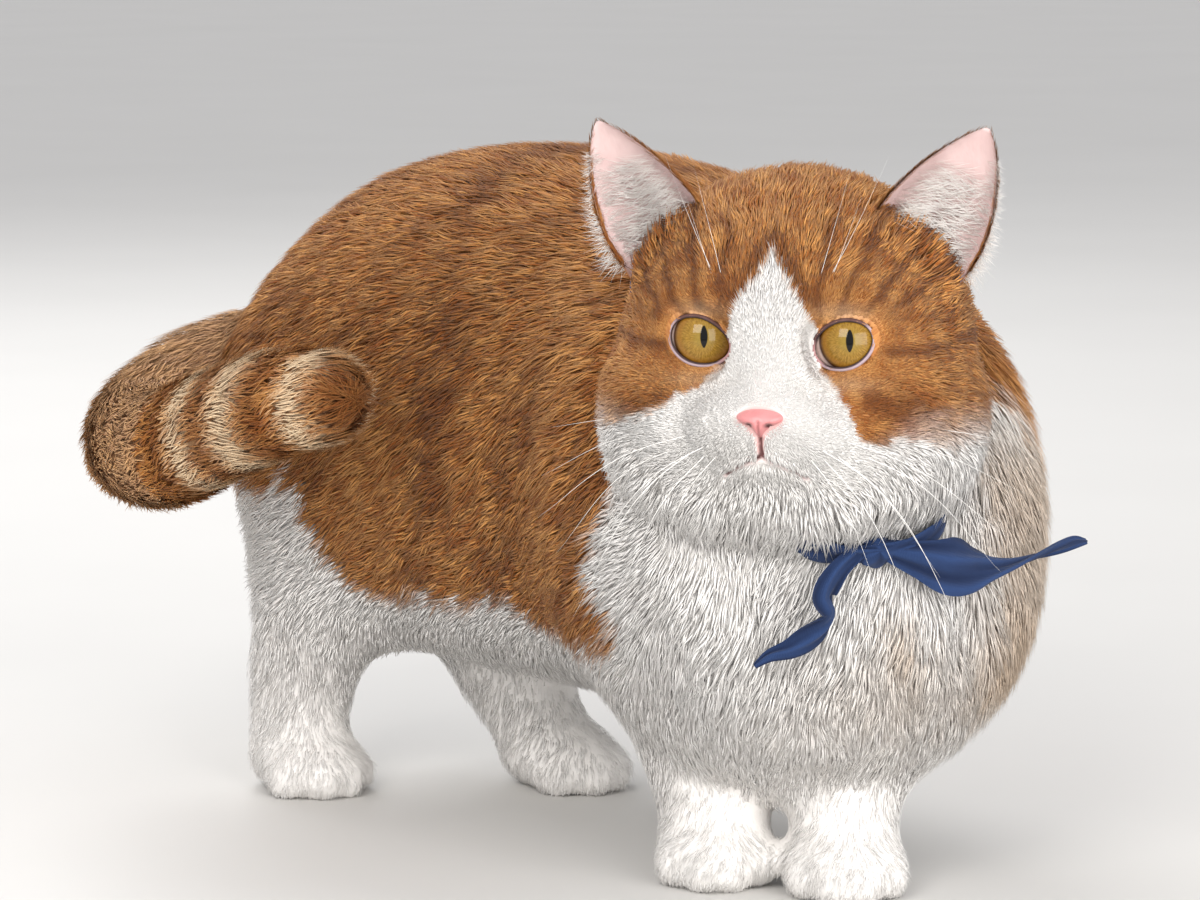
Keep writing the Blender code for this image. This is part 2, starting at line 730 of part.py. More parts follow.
def ear(name, head, side):
    """A pointed shell, hollowed to a cup in front and seated on the skull."""
    shell = loft(name, ear_rings(side, 0.0, 0.0, -EAR_ROOT_SINK))
    cup = loft("cup", ear_rings(side, EAR_WALL, EAR_DEPTH * EAR_CUP_AHEAD, EAR_CUP_START)[:-1])
    boolean(shell, cup, "DIFFERENCE")
    boolean(shell, swollen(head, "skull", GAP), "DIFFERENCE")
    return shell


def tail_nodes(body):
    """The tail in three lengths, its root seated on the rump."""
    rest = tube("tail_base", TAIL, around=16, steps=22)
    boolean(rest, swollen(body, "rump", GAP), "DIFFERENCE")

    def region(centre, sizes):
        return lambda grow: block("tail region", Vector(centre), [size + 2 * grow for size in sizes])

    tip = part_off(rest, region(*TAIL_TIP_REGION), "tail_tip")
    middle = part_off(rest, region(*TAIL_MIDDLE_REGION), "tail_middle")
    return {"tail_base": rest, "tail_middle": middle, "tail_tip": tip}


def ribbon(name, rows, outward):
    """A tapering strip of folded cloth: rows of a place, half width, half thickness and twist."""
    table = spline([(*place, wide, thick, twist) for place, wide, thick, twist in rows], 16)
    line = table[:, :3]
    ahead = np.gradient(line, axis=0)
    ahead /= np.linalg.norm(ahead, axis=1, keepdims=True)
    out = np.array(Vector(outward).normalized())
    out = out - ahead * (ahead @ out)[:, None]
    out /= np.linalg.norm(out, axis=1, keepdims=True)
    side = np.cross(ahead, out)
    twist = np.radians(table[:, 5])[:, None]
    across = side * np.cos(twist) + out * np.sin(twist)
    normal = out * np.cos(twist) - side * np.sin(twist)
    turn = np.linspace(0, 2 * math.pi, 10, endpoint=False)[None, :, None]
    rings = line[:, None] + table[:, 3][:, None, None] * np.cos(turn) * across[:, None]
    rings = rings + table[:, 4][:, None, None] * np.sin(turn) * normal[:, None]
    return loft(name, rings)


def neckerchief(surface, beds):
    """A rolled band sunk in the coat round the neck, a knot under the jowl and two twisted ends."""
    near = swollen(surface, "near", GAP)
    inner = swollen(surface, "inner", BAND_PROUD - BAND_THICKNESS)
    band = swollen(surface, "kerchief_band", BAND_PROUD)
    front, back = (Vector(place) for place in BAND_LINE)
    up_line = back - front
    level = up_line.cross(Vector((0, 0, 1))).normalized()
    normal = level.cross(up_line).normalized()
    turn = Matrix((level, up_line.normalized(), normal)).transposed()
    boolean(band, block("band slab", (front + back) / 2, (0.3, 0.3, BAND_WIDTH), turn), "INTERSECT")
    boolean(band, inner, "DIFFERENCE")
    for bed in beds:
        boolean(bed, swollen(band, "band bed", GAP), "DIFFERENCE")
    knot = ellipsoid("kerchief_knot", Vector(KNOT_PLACE), KNOT_RADII, axes_along(KNOT_FACING), level=2)
    boolean(knot, near, "DIFFERENCE", keep_cutter=True)
    boolean(knot, swollen(band, "band skin", GAP), "DIFFERENCE")
    nodes = {"kerchief_band": band, "kerchief_knot": knot}
    for name, (rows, outward) in KERCHIEF_ENDS.items():
        end = ribbon(name, rows, outward)
        boolean(end, near, "DIFFERENCE", keep_cutter=True)
        boolean(end, swollen(band, "band skin", GAP), "DIFFERENCE")
        boolean(end, swollen(knot, "knot skin", GAP), "DIFFERENCE")
        nodes[name] = end
    bpy.data.objects.remove(near, do_unlink=True)
    return nodes


def finish(nodes):
    """Stand the model with the middle of its footprint at the origin, and give each node its material."""
    corners = np.array([v.co for thing in nodes.values() for v in thing.data.vertices])
    low, high = corners.min(axis=0), corners.max(axis=0)
    shift = Vector((-(low[0] + high[0]) / 2, -(low[1] + high[1]) / 2, -low[2]))
    materials = {}
    for name, thing in nodes.items():
        thing.name = name
        thing.data.name = name
        thing.data.transform(Matrix.Translation(shift))
        finish_name = next(value for key, value in FINISHES.items() if name.startswith(key))
        if finish_name not in materials:
            material = bpy.data.materials.new(finish_name)
            material.use_nodes = True
            shader = material.node_tree.nodes["Principled BSDF"]
            shader.inputs["Base Color"].default_value = (*COLOURS[finish_name], 1.0)
            shader.inputs["Roughness"].default_value = ROUGHNESS[finish_name]
            shader.inputs["Metallic"].default_value = 0.0
            materials[finish_name] = material
        thing.data.materials.clear()
        thing.data.materials.append(materials[finish_name])
        thing.data.shade_smooth()
        thing.data.set_sharp_from_angle(angle=SHARP_ANGLE)
    return shift


clear_scene()
body = whole_body()
surface = copy_of(body, "surface")
surface.hide_render = True
surface.display_type = "WIRE"
nodes = legs_and_paws(body)
nodes.update(head_and_neck(body))
nodes["torso"] = body
head = nodes["head"]
nodes["ear_left"] = ear("ear_left", surface, 1)
nodes["ear_right"] = ear("ear_right", surface, -1)
nodes["nose"] = nose_leather(head)
for eye_name, eye_side in (("eye_left", 1), ("eye_right", -1)):
    add_lids(head, eye_side)
    eye_place = on_head(EYE_PLACE, eye_side)
    nodes[eye_name] = ellipsoid(eye_name, eye_place, (EYE_RADIUS,) * 3, HEAD_TURN, level=3)
add_mouth(head)
nodes.update(tail_nodes(surface))
nodes.update(neckerchief(surface, [nodes["head"], nodes["neck"], nodes["torso"]]))
bpy.data.objects.remove(surface, do_unlink=True)
SHIFT = finish(nodes)
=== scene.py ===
# %% [markdown]
# A ginger and white cat with short legs, standing still with its head turned to one side and a rolled
# blue neckerchief round its neck. The imported model gives every body part its place, so this first cell
# only loads it.
# %% Load the imported model
import math

import bmesh
import bpy
import numpy as np
from mathutils import Matrix, Vector


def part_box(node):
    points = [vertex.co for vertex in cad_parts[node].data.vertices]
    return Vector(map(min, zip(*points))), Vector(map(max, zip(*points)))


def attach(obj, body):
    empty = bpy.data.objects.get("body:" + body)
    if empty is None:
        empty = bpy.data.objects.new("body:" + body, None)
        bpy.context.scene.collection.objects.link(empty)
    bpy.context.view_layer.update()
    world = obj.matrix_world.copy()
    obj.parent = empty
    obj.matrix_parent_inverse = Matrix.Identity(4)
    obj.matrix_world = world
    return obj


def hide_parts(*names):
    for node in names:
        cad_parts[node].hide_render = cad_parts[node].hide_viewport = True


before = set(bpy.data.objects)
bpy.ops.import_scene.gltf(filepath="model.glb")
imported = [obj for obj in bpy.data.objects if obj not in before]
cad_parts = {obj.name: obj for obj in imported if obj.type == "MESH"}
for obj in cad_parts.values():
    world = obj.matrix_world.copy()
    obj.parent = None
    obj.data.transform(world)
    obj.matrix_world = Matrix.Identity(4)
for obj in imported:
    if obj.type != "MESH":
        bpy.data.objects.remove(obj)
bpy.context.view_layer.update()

# %% [markdown]
# The head is turned away from the body, so the face is described in its own directions: left, ahead and
# up. The middle between the two eyeballs places the head, and a fixed turn of 52 degrees gives its
# directions. All lengths from here on are written in millimetres and turned into metres once.
# %% Directions of the head and the body
MM = 0.001
UP = np.array([0.0, 0.0, 1.0])
HEAD_YAW = math.radians(52)
HEAD_IN_BODY = (2.0, -2.0, 163.0)
EYE_AT = (21.5, 30.5, 9.5)
SIDES = ((1, "left"), (-1, "right"))


def middle(name):
    """The middle of a node's box, in metres."""
    low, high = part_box(name)
    return (np.array(low) + np.array(high)) / 2


AHEAD = np.array([-math.sin(HEAD_YAW), -math.cos(HEAD_YAW), 0.0])
LEFT = np.cross(UP, AHEAD)
HEAD = (middle("eye_left") + middle("eye_right")) / 2 - AHEAD * EYE_AT[1] * MM - UP * EYE_AT[2] * MM
SHIFT = HEAD - np.array(HEAD_IN_BODY) * MM
print("head centre:", HEAD.round(4), "shift:", SHIFT.round(5))


def spread(lengths, axes):
    """The sum of lengths in millimetres, each along its own direction, in metres."""
    return sum(length[..., None] * axis for length, axis in zip(lengths, axes)) * MM


def head_place(left, ahead, up):
    """A point given in the head's own millimetres, in metres: centre + left, ahead and up along the axes."""
    return HEAD + spread(np.broadcast_arrays(left, ahead, up), (LEFT, AHEAD, UP))


def in_head(points):
    """The left, ahead and up of points in the head's own millimetres."""
    gap = (points - HEAD) / MM
    return gap @ LEFT, gap @ AHEAD, gap @ UP


def far_from(points, at, half=(1, 1, 1), mirrored=False):
    """Distance from a place in the head's millimetres, each part counted in half sizes of an egg."""
    left, ahead, up = in_head(points)
    parts = (np.abs(left) if mirrored else left, ahead, up)
    return np.sqrt(sum(((part - middle_of) / size) ** 2 for part, middle_of, size in zip(parts, at, half)))


def in_body(points):
    """Points in the body's own millimetres: across to its left, back towards the tail, up."""
    return ((points - SHIFT) / MM).T


def blend(first, second, share):
    """first x (1 - share) + second x share."""
    return first * (1 - share) + second * share


# %% [markdown]
# The camera stands where the photograph was taken: a little above the animal's eyes, ahead of it and to
# its right, looking slightly down, with a long lens. A plane of pale floor and soft light from three
# large lamps make a plain studio. One lamp stands high on the left, so its reflection falls on the upper
# left of each pupil, and a broad one ahead fills the shadows under the chin.
# %% Camera, floor and light
CAMERA_AT = (-0.9100, -1.0745, 0.338)
CAMERA_LENS, CAMERA_SENSOR, CAMERA_REACH = 144, 36, 20
STUDIO_AIM = Vector((0.0, 0.0, 0.11))
LAMPS = (
    # name, place, size, power and colour
    ("key lamp", (-1.30, -0.75, 1.05), 0.80, 15, (1.0, 0.97, 0.93)),
    ("fill lamp", (-0.10, -1.75, 0.42), 1.30, 26, (1.0, 0.98, 0.96)),
    ("rim lamp", (0.35, 1.25, 1.25), 0.90, 14, (1.0, 1.0, 1.0)),
)
SKY_COLOUR, SKY_STRENGTH = (0.90, 0.90, 0.92, 1), 0.84
heading, pitch = math.radians(38), math.radians(8.18)
across = np.array([math.cos(heading), -math.sin(heading), 0.0])
sight = np.array([math.sin(heading) * math.cos(pitch), math.cos(heading) * math.cos(pitch),
                  -math.sin(pitch)])
camera_place = np.array(CAMERA_AT) + SHIFT
camera_data = bpy.data.cameras.new("camera")
camera_data.sensor_width = CAMERA_SENSOR
camera_data.lens = CAMERA_LENS
camera_data.clip_end = CAMERA_REACH
camera = bpy.data.objects.new("camera", camera_data)
axes = Matrix([list(axis) for axis in (across, np.cross(across, sight), -sight)])
camera.matrix_world = Matrix.Translation(Vector(camera_place)) @ axes.transposed().to_4x4()
bpy.context.scene.collection.objects.link(camera)
bpy.context.scene.camera = camera

for name, place, size, power, colour in LAMPS:
    data = bpy.data.lights.new(name, "AREA")
    data.size, data.energy, data.color = size, power, colour
    thing = bpy.data.objects.new(name, data)
    turn = (STUDIO_AIM - Vector(place)).normalized().to_track_quat("-Z", "Y").to_matrix().to_4x4()
    thing.matrix_world = Matrix.Translation(Vector(place)) @ turn
    bpy.context.scene.collection.objects.link(thing)

world = bpy.data.worlds.new("studio")
bpy.context.scene.world = world
world.use_nodes = True
background = world.node_tree.nodes["Background"]
background.inputs["Color"].default_value = SKY_COLOUR
background.inputs["Strength"].default_value = SKY_STRENGTH
bpy.context.scene.view_settings.view_transform = "Standard"

# %% [markdown]
# Each finish is a small network of shader nodes. Written as plain sums it stays readable, so one small
# class wraps a socket: an arithmetic sign between two of them adds the Math node that does it, also
# when the number comes first. Colours never go through a Math node, because that would turn them grey.
# %% Shader sums
class Socket:
    """A shader socket that can be added, taken away, multiplied, divided and raised to a power."""

    def __init__(self, finish, socket):
        self.finish = finish
        self.socket = socket

    def __add__(self, other):
        return self.finish.maths("ADD", self, other)

    def __mul__(self, other):
        return self.finish.maths("MULTIPLY", self, other)

    def __sub__(self, other):
        return self.finish.maths("SUBTRACT", self, other)

    def __rsub__(self, other):
        return self.finish.maths("SUBTRACT", other, self)

    def __truediv__(self, other):
        return self.finish.maths("DIVIDE", self, other)

    def __rtruediv__(self, other):
        return self.finish.maths("DIVIDE", other, self)

    def __pow__(self, other):
        return self.finish.maths("POWER", self, other)

    __radd__, __rmul__ = __add__, __mul__


class Finish:
    """A material and the one way to add nodes to it."""

    def __init__(self, name, **constants):
        self.material = bpy.data.materials.new(name)
        self.material.use_nodes = True
        self.tree = self.material.node_tree
        self.shader = self.tree.nodes["Principled BSDF"]
        for socket, value in constants.items():
            self.shader.inputs[socket.replace("_", " ")].default_value = value

    def node(self, kind, settings=None, inputs=None, output=0):
        """Add a node: its settings first, then the values or links of its sockets."""
        made = self.tree.nodes.new(kind)
        for key, value in (settings or {}).items():
            setattr(made, key, value)
        for key, value in (inputs or {}).items():
            if isinstance(value, Socket):
                self.tree.links.new(value.socket, made.inputs[key])
            else:
                made.inputs[key].default_value = value
        return Socket(self, made.outputs[output])

    def attribute(self, name, output="Fac"):
        return self.node("ShaderNodeAttribute", {"attribute_name": name}, output=output)

    def split(self, vector):
        """The three numbers of a vector."""
        apart = self.node("ShaderNodeSeparateXYZ", inputs={0: vector}).socket.node
        return [Socket(self, output) for output in apart.outputs]

    def mix(self, share, first, second):
        """A colour between two: share 0 gives the first and 1 the second."""
        settings = {"data_type": "RGBA", "clamp_factor": True}
        made = self.node("ShaderNodeMix", settings).socket.node
        for key, value in (("Factor_Float", share), ("A_Color", first), ("B_Color", second)):
            target = next(socket for socket in made.inputs if socket.identifier == key)
            if isinstance(value, Socket):
                self.tree.links.new(value.socket, target)
            elif isinstance(value, tuple):
                target.default_value = (*value[:3], 1)
            else:
                target.default_value = value
        return Socket(self, next(out for out in made.outputs if out.identifier == "Result_Color"))

    def layers(self, colour, *covers):
        """A colour covered by others in turn, each given as its share and its colour."""
        for share, cover in covers:
            colour = self.mix(share, colour, cover)
        return colour

    def maths(self, operation, *values):
        """A Math node of one or two values."""
        return self.node("ShaderNodeMath", {"operation": operation}, dict(enumerate(values)))

    def step(self, value, low, high):
        """A smooth step: 0 below low and 1 above high."""
        return self.node("ShaderNodeMapRange", {"interpolation_type": "SMOOTHSTEP"},
                         {"Value": value, "From Min": low, "From Max": high})

    def noise(self, place, scale, detail=2.0, stretch=None):
        """Cloudy variation about 0.5, in a place stretched by three factors first."""
        if stretch:
            place = self.node("ShaderNodeMapping", None, {"Vector": place, "Scale": stretch})
        return self.node("ShaderNodeTexNoise", None, {"Vector": place, "Scale": scale, "Detail": detail})

    def bump(self, height, distance, strength=1.0):
        """Feed a height to a Bump node and that to the shader's Normal."""
        values = {"Height": height, "Distance": distance, "Strength": strength}
        self.feed("Normal", self.node("ShaderNodeBump", None, values))

    def feed(self, name, value):
        self.tree.links.new(value.socket, self.shader.inputs[name])

    def place(self):
        return self.node("ShaderNodeTexCoord", output="Object")


floor_finish = Finish("pale floor", Roughness=0.6)
floor_cloud = floor_finish.noise(floor_finish.place(), 6.0, 3.0)
floor_finish.feed("Base Color", floor_finish.mix(floor_cloud, (0.64, 0.63, 0.61), (0.68, 0.67, 0.65)))
floor_mesh = bpy.data.meshes.new("floor")
FLOOR_HALF = 20
floor_corners = [(x * FLOOR_HALF, y * FLOOR_HALF, 0) for x, y in ((-1, -1), (1, -1), (1, 1), (-1, 1))]
floor_mesh.from_pydata(floor_corners, [], [(0, 1, 2, 3)])
floor = bpy.data.objects.new("floor", floor_mesh)
floor_mesh.materials.append(floor_finish.material)
bpy.context.scene.collection.objects.link(floor)
print("stage set, camera at", camera_place.round(3))

# %% [markdown]
# Most pieces below are surfaces over a grid: a table of points, row by row, with two triangles between
# each four of them. Each row goes right round. The rows may close on themselves too, as on a ring, and
# otherwise a pole closes each end with a fan. One helper makes the faces for all, as whole arrays.
# %% Surfaces from tables of points
def once_round(count):
    """Angles evenly spaced once round, as columns."""
    return np.linspace(0, 2 * math.pi, count, endpoint=False)[None]


def pole_to_pole(count):
    """Angles evenly spaced from one pole to the other, as rows, without the poles."""
    return np.linspace(0, math.pi, count + 2)[1:-1][:, None]


def egg(fall, turn, radii):
    """Radius x sine of the fall x cosine or sine of the turn, and radius x cosine of the fall."""
    return (radii[0] * np.sin(fall) * np.cos(turn), radii[1] * np.sin(fall) * np.sin(turn),
            radii[2] * np.cos(fall) + 0 * turn)


def link_mesh(name, points, triangles, finish, **stored):
    """An object at the origin from points in metres and rows of three corners.

    Each array given by name is stored on the points: a number or a row of three for each of them.
    """
    mesh = bpy.data.meshes.new(name)
    mesh.vertices.add(len(points))
    mesh.vertices.foreach_set("co", np.ascontiguousarray(points, np.float32).ravel())
    mesh.loops.add(len(triangles) * 3)
    mesh.loops.foreach_set("vertex_index", np.ascontiguousarray(triangles, np.int32).ravel())
    mesh.polygons.add(len(triangles))
    mesh.polygons.foreach_set("loop_start", np.arange(0, len(triangles) * 3, 3, dtype=np.int32))
    mesh.polygons.foreach_set("use_smooth", np.ones(len(triangles), bool))
    mesh.update(calc_edges=True)
    for key, values in stored.items():
        values = np.ascontiguousarray(values, np.float32)
        kind, field = ("FLOAT_VECTOR", "vector") if values.ndim == 2 else ("FLOAT", "value")
        mesh.attributes.new(key, kind, "POINT").data.foreach_set(field, values.ravel())
    thing = bpy.data.objects.new(name, mesh)
    if finish:
        mesh.materials.append(finish.material)
    bpy.context.scene.collection.objects.link(thing)
    return thing


def dress(thing, slot, *nodes):
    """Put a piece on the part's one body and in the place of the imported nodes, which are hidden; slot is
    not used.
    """
    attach(thing, "root")
    if nodes:
        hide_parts(*nodes)


def grid_triangles(rows, columns, round_rows=False):
    """Corners of the triangles between neighbouring rows of a table, whose columns go right round."""
    row = np.arange(rows if round_rows else rows - 1)
    i, j = (part.ravel() for part in np.meshgrid(row, np.arange(columns), indexing="ij"))
    a = i * columns + j
    b = i * columns + (j + 1) % columns
    c = (i + 1) % rows * columns + (j + 1) % columns
    d = (i + 1) % rows * columns + j
    return np.concatenate([np.stack([a, b, c], 1), np.stack([a, c, d], 1)])


def closed_form(table, round_rows=False):
    """Points and triangles of rings that close on themselves, with a pole over each open end."""
    rows, columns = table.shape[:2]
    points = table.reshape(-1, 3)
    triangles = grid_triangles(rows, columns, round_rows)
    if not round_rows:
        poles = np.stack([table[0].mean(axis=0), table[-1].mean(axis=0)])
        first, last = rows * columns, rows * columns + 1
        j = np.arange(columns)
        k = (j + 1) % columns
        start = np.stack([np.full(columns, first), k, j], 1)
        edge = (rows - 1) * columns
        end = np.stack([np.full(columns, last), edge + j, edge + k], 1)
        points = np.vstack([points, poles])
        triangles = np.vstack([triangles, start, end])
    return points, outward(points, triangles)


def outward(points, triangles):
    """The triangles turned round if the volume they enclose comes out negative."""
    corners = points[triangles]
    volume = np.einsum("ij,ij->i", corners[:, 0], np.cross(corners[:, 1], corners[:, 2])).sum()
    return triangles if volume > 0 else triangles[:, ::-1]


TINY = 1e-12


def face_normals(points, triangles):
    """The cross product of two sides of each triangle: twice its area long."""
    corners = points[triangles]
    return np.cross(corners[:, 1] - corners[:, 0], corners[:, 2] - corners[:, 0])


def normals_of(points, triangles):
    """Unit normals at the points, each face counting by its area."""
    face = face_normals(points, triangles)
    corner = triangles.ravel()
    total = np.stack([np.bincount(corner, np.repeat(face[:, k], 3), len(points)) for k in range(3)], 1)
    return unit(total)


def smooth_step(value, low, high):
    """0 below low, 1 above high and a smooth rise between; low may be the larger."""
    share = np.clip((value - low) / (high - low), 0, 1)
    return share * share * (3 - 2 * share)


def unit(vectors):
    """Vectors divided by their lengths; TINY keeps a vector of no length from a division by 0."""
    return vectors / np.maximum(np.linalg.norm(vectors, axis=-1, keepdims=True), TINY)


def curve_through(rows, count):
    """A smooth curve through rows of numbers: a cubic through each four neighbours in turn."""
    rows = np.array(rows, float)
    rows = np.vstack([2 * rows[0] - rows[1], rows, 2 * rows[-1] - rows[-2]])
    at = np.linspace(0, len(rows) - 3, count)
    first = np.minimum(at.astype(int), len(rows) - 4)
    t = (at - first)[:, None]
    a, b, c, d = (rows[first + k] for k in range(4))
    return b + 0.5 * t * (c - a + t * (2 * a - 5 * b + 4 * c - d + t * (3 * (b - c) + d - a)))


def clouds(points, size, seed, waves=10):
    """Smooth variation about 0, near -1 to 1: a mean of sines along seeded directions, size mm long."""
    rng = np.random.default_rng(seed)
    ways = unit(rng.normal(size=(waves, 3))) * (2 * math.pi / size) * rng.uniform(0.6, 1.5, (waves, 1))
    phase = rng.uniform(0, 2 * math.pi, waves)
    return np.sin(points / MM @ ways.T + phase).sum(axis=1) / math.sqrt(waves)


def read_mesh(mesh):
    """The points of a mesh and the corners of its triangles, as it stores them."""
    mesh.calc_loop_triangles()
    points = np.empty(len(mesh.vertices) * 3, np.float32)
    mesh.vertices.foreach_get("co", points)
    corners = np.empty(len(mesh.loop_triangles) * 3, np.int32)
    mesh.loop_triangles.foreach_get("vertices", corners)
    return points.reshape(-1, 3), corners.reshape(-1, 3)


def joined(parts):
    """One mesh from several, each given as points and triangles."""
    starts = np.cumsum([0] + [len(points) for points, _ in parts])
    triangles = [triangles + start for (_, triangles), start in zip(parts, starts)]
    return np.vstack([points for points, _ in parts]), np.vstack(triangles)


print("a table of 3 rows of 4 points takes", len(grid_triangles(3, 4)), "triangles")

# %% [markdown]
# The markings are the same on the skin and on every tuft of fur, so they are worked out once, as a
# function of the place on the body. Three numbers say it all: how ginger the place is, how dark a stripe
# runs over it, and how much cream or tan tints it; on the chest that tint is partly painted shade. White
# climbs from the muzzle to the forehead as a blaze; flanks, back and tail are ginger tabby, and the chest,
# belly and legs are white.
# %% Markings
# the blaze's edge: its height at places to the left of the head's middle
BLAZE_LEFT = [-60, -53, -33, -18, -14, -12.5, -9, -4, 0.7, 5, 10, 13.5, 14.5, 22, 28.7, 40, 51, 60.0]
BLAZE_UP = [-22, -19.3, -10.4, -1, 3, 15, 23, 30, 37, 30, 23, 15, 4, -5, -17.6, -18.8, -21.6, -24.0]
BLAZE_MIDDLE = 0.7
# each stripe of the forehead: its start from the middle, its lean and its width
FOREHEAD_STRIPES = ((14.5, 0.05, 1.9), (21.0, 0.30, 1.7), (28.5, 0.62, 1.6), (36.0, 0.95, 1.8))
# the egg that tells the head from the body: its middle and its half sizes, left, ahead and up
HEAD_EGG = (0, 4, 6), (62, 54, 52)
SWIRL_EVERY, NAPE_LEVEL, RING_EVERY = 46, 168, 22
# lower edge of the ginger flank, dark line of the back, front edges at the right and at the left
FLANK_BACK = [30, 44, 56, 69, 107, 120, 127, 153, 161, 186, 198, 207, 211, 218, 262.0]
FLANK_LOW = [72, 67, 69, 67, 62, 67, 74, 67, 71, 64, 74, 88, 103, 101, 96.0]
SPINE_BACK, SPINE_ACROSS = [30, 100, 200, 262], [30, 53, 35, 6]
CHEST_HEIGHT, CHEST_EDGE = [41, 65, 81, 91, 113, 146, 175], [44, 44, 42, 54, 48, 28, 14]
FAR_HEIGHT, FAR_EDGE = [50, 85, 120, 150], [0, -8, -14, -24]
# each ring of the tail: its place along the run and its width
DARK_RINGS = ((-16, 8), (15, 6.5), (42, 5), (64, 5.5))
PALE_RINGS = ((-2, 5.2), (30, 6.2), (53, 4.8))
# the tail's core: across, back, up and the radius there
TAIL_PATH = np.array([
    (2, 262, 142, 18), (-12, 283, 136, 20), (-36, 284, 122, 21.5), (-56, 266, 113, 22.5),
    (-65, 236, 115, 22.5), (-67, 206, 126, 21.5), (-65, 176, 136, 20.5), (-63, 150, 141, 19),
], float)


def along_tail(points):
    """How far along the tail a place is (0 to 1), its distance from the core and the core's direction."""
    core = curve_through(TAIL_PATH, 90)
    place = np.stack(in_body(points), 1)
    nearest = np.zeros(len(points), int)
    best = np.full(len(points), np.inf)
    for k, row in enumerate(core):
        gap = np.linalg.norm(place - row[:3], axis=1) - row[3]
        nearest[gap < best] = k
        best = np.minimum(best, gap)
    way = unit(np.gradient(core[:, :3], axis=0))
    return nearest / (len(core) - 1), best, way[nearest]


def head_share(points):
    """1 on the head, 0 on the body and a soft change between, by the distance from an egg shape."""
    return smooth_step(far_from(points, *HEAD_EGG), 1.12, 0.98)


def tail_share(points):
    """1 on the tail beyond its root, 0 elsewhere."""
    along, gap, _ = along_tail(points)
    x, y, _ = in_body(points)
    return smooth_step(gap, 4.0, 1.5) * smooth_step(along, 0.02, 0.12) * (x < -20 + 60 * (y > 262))


def stripe(gap, width):
    """A soft stripe: e to the power of minus the square of gap / width."""
    return np.exp(-((gap / width) ** 2))


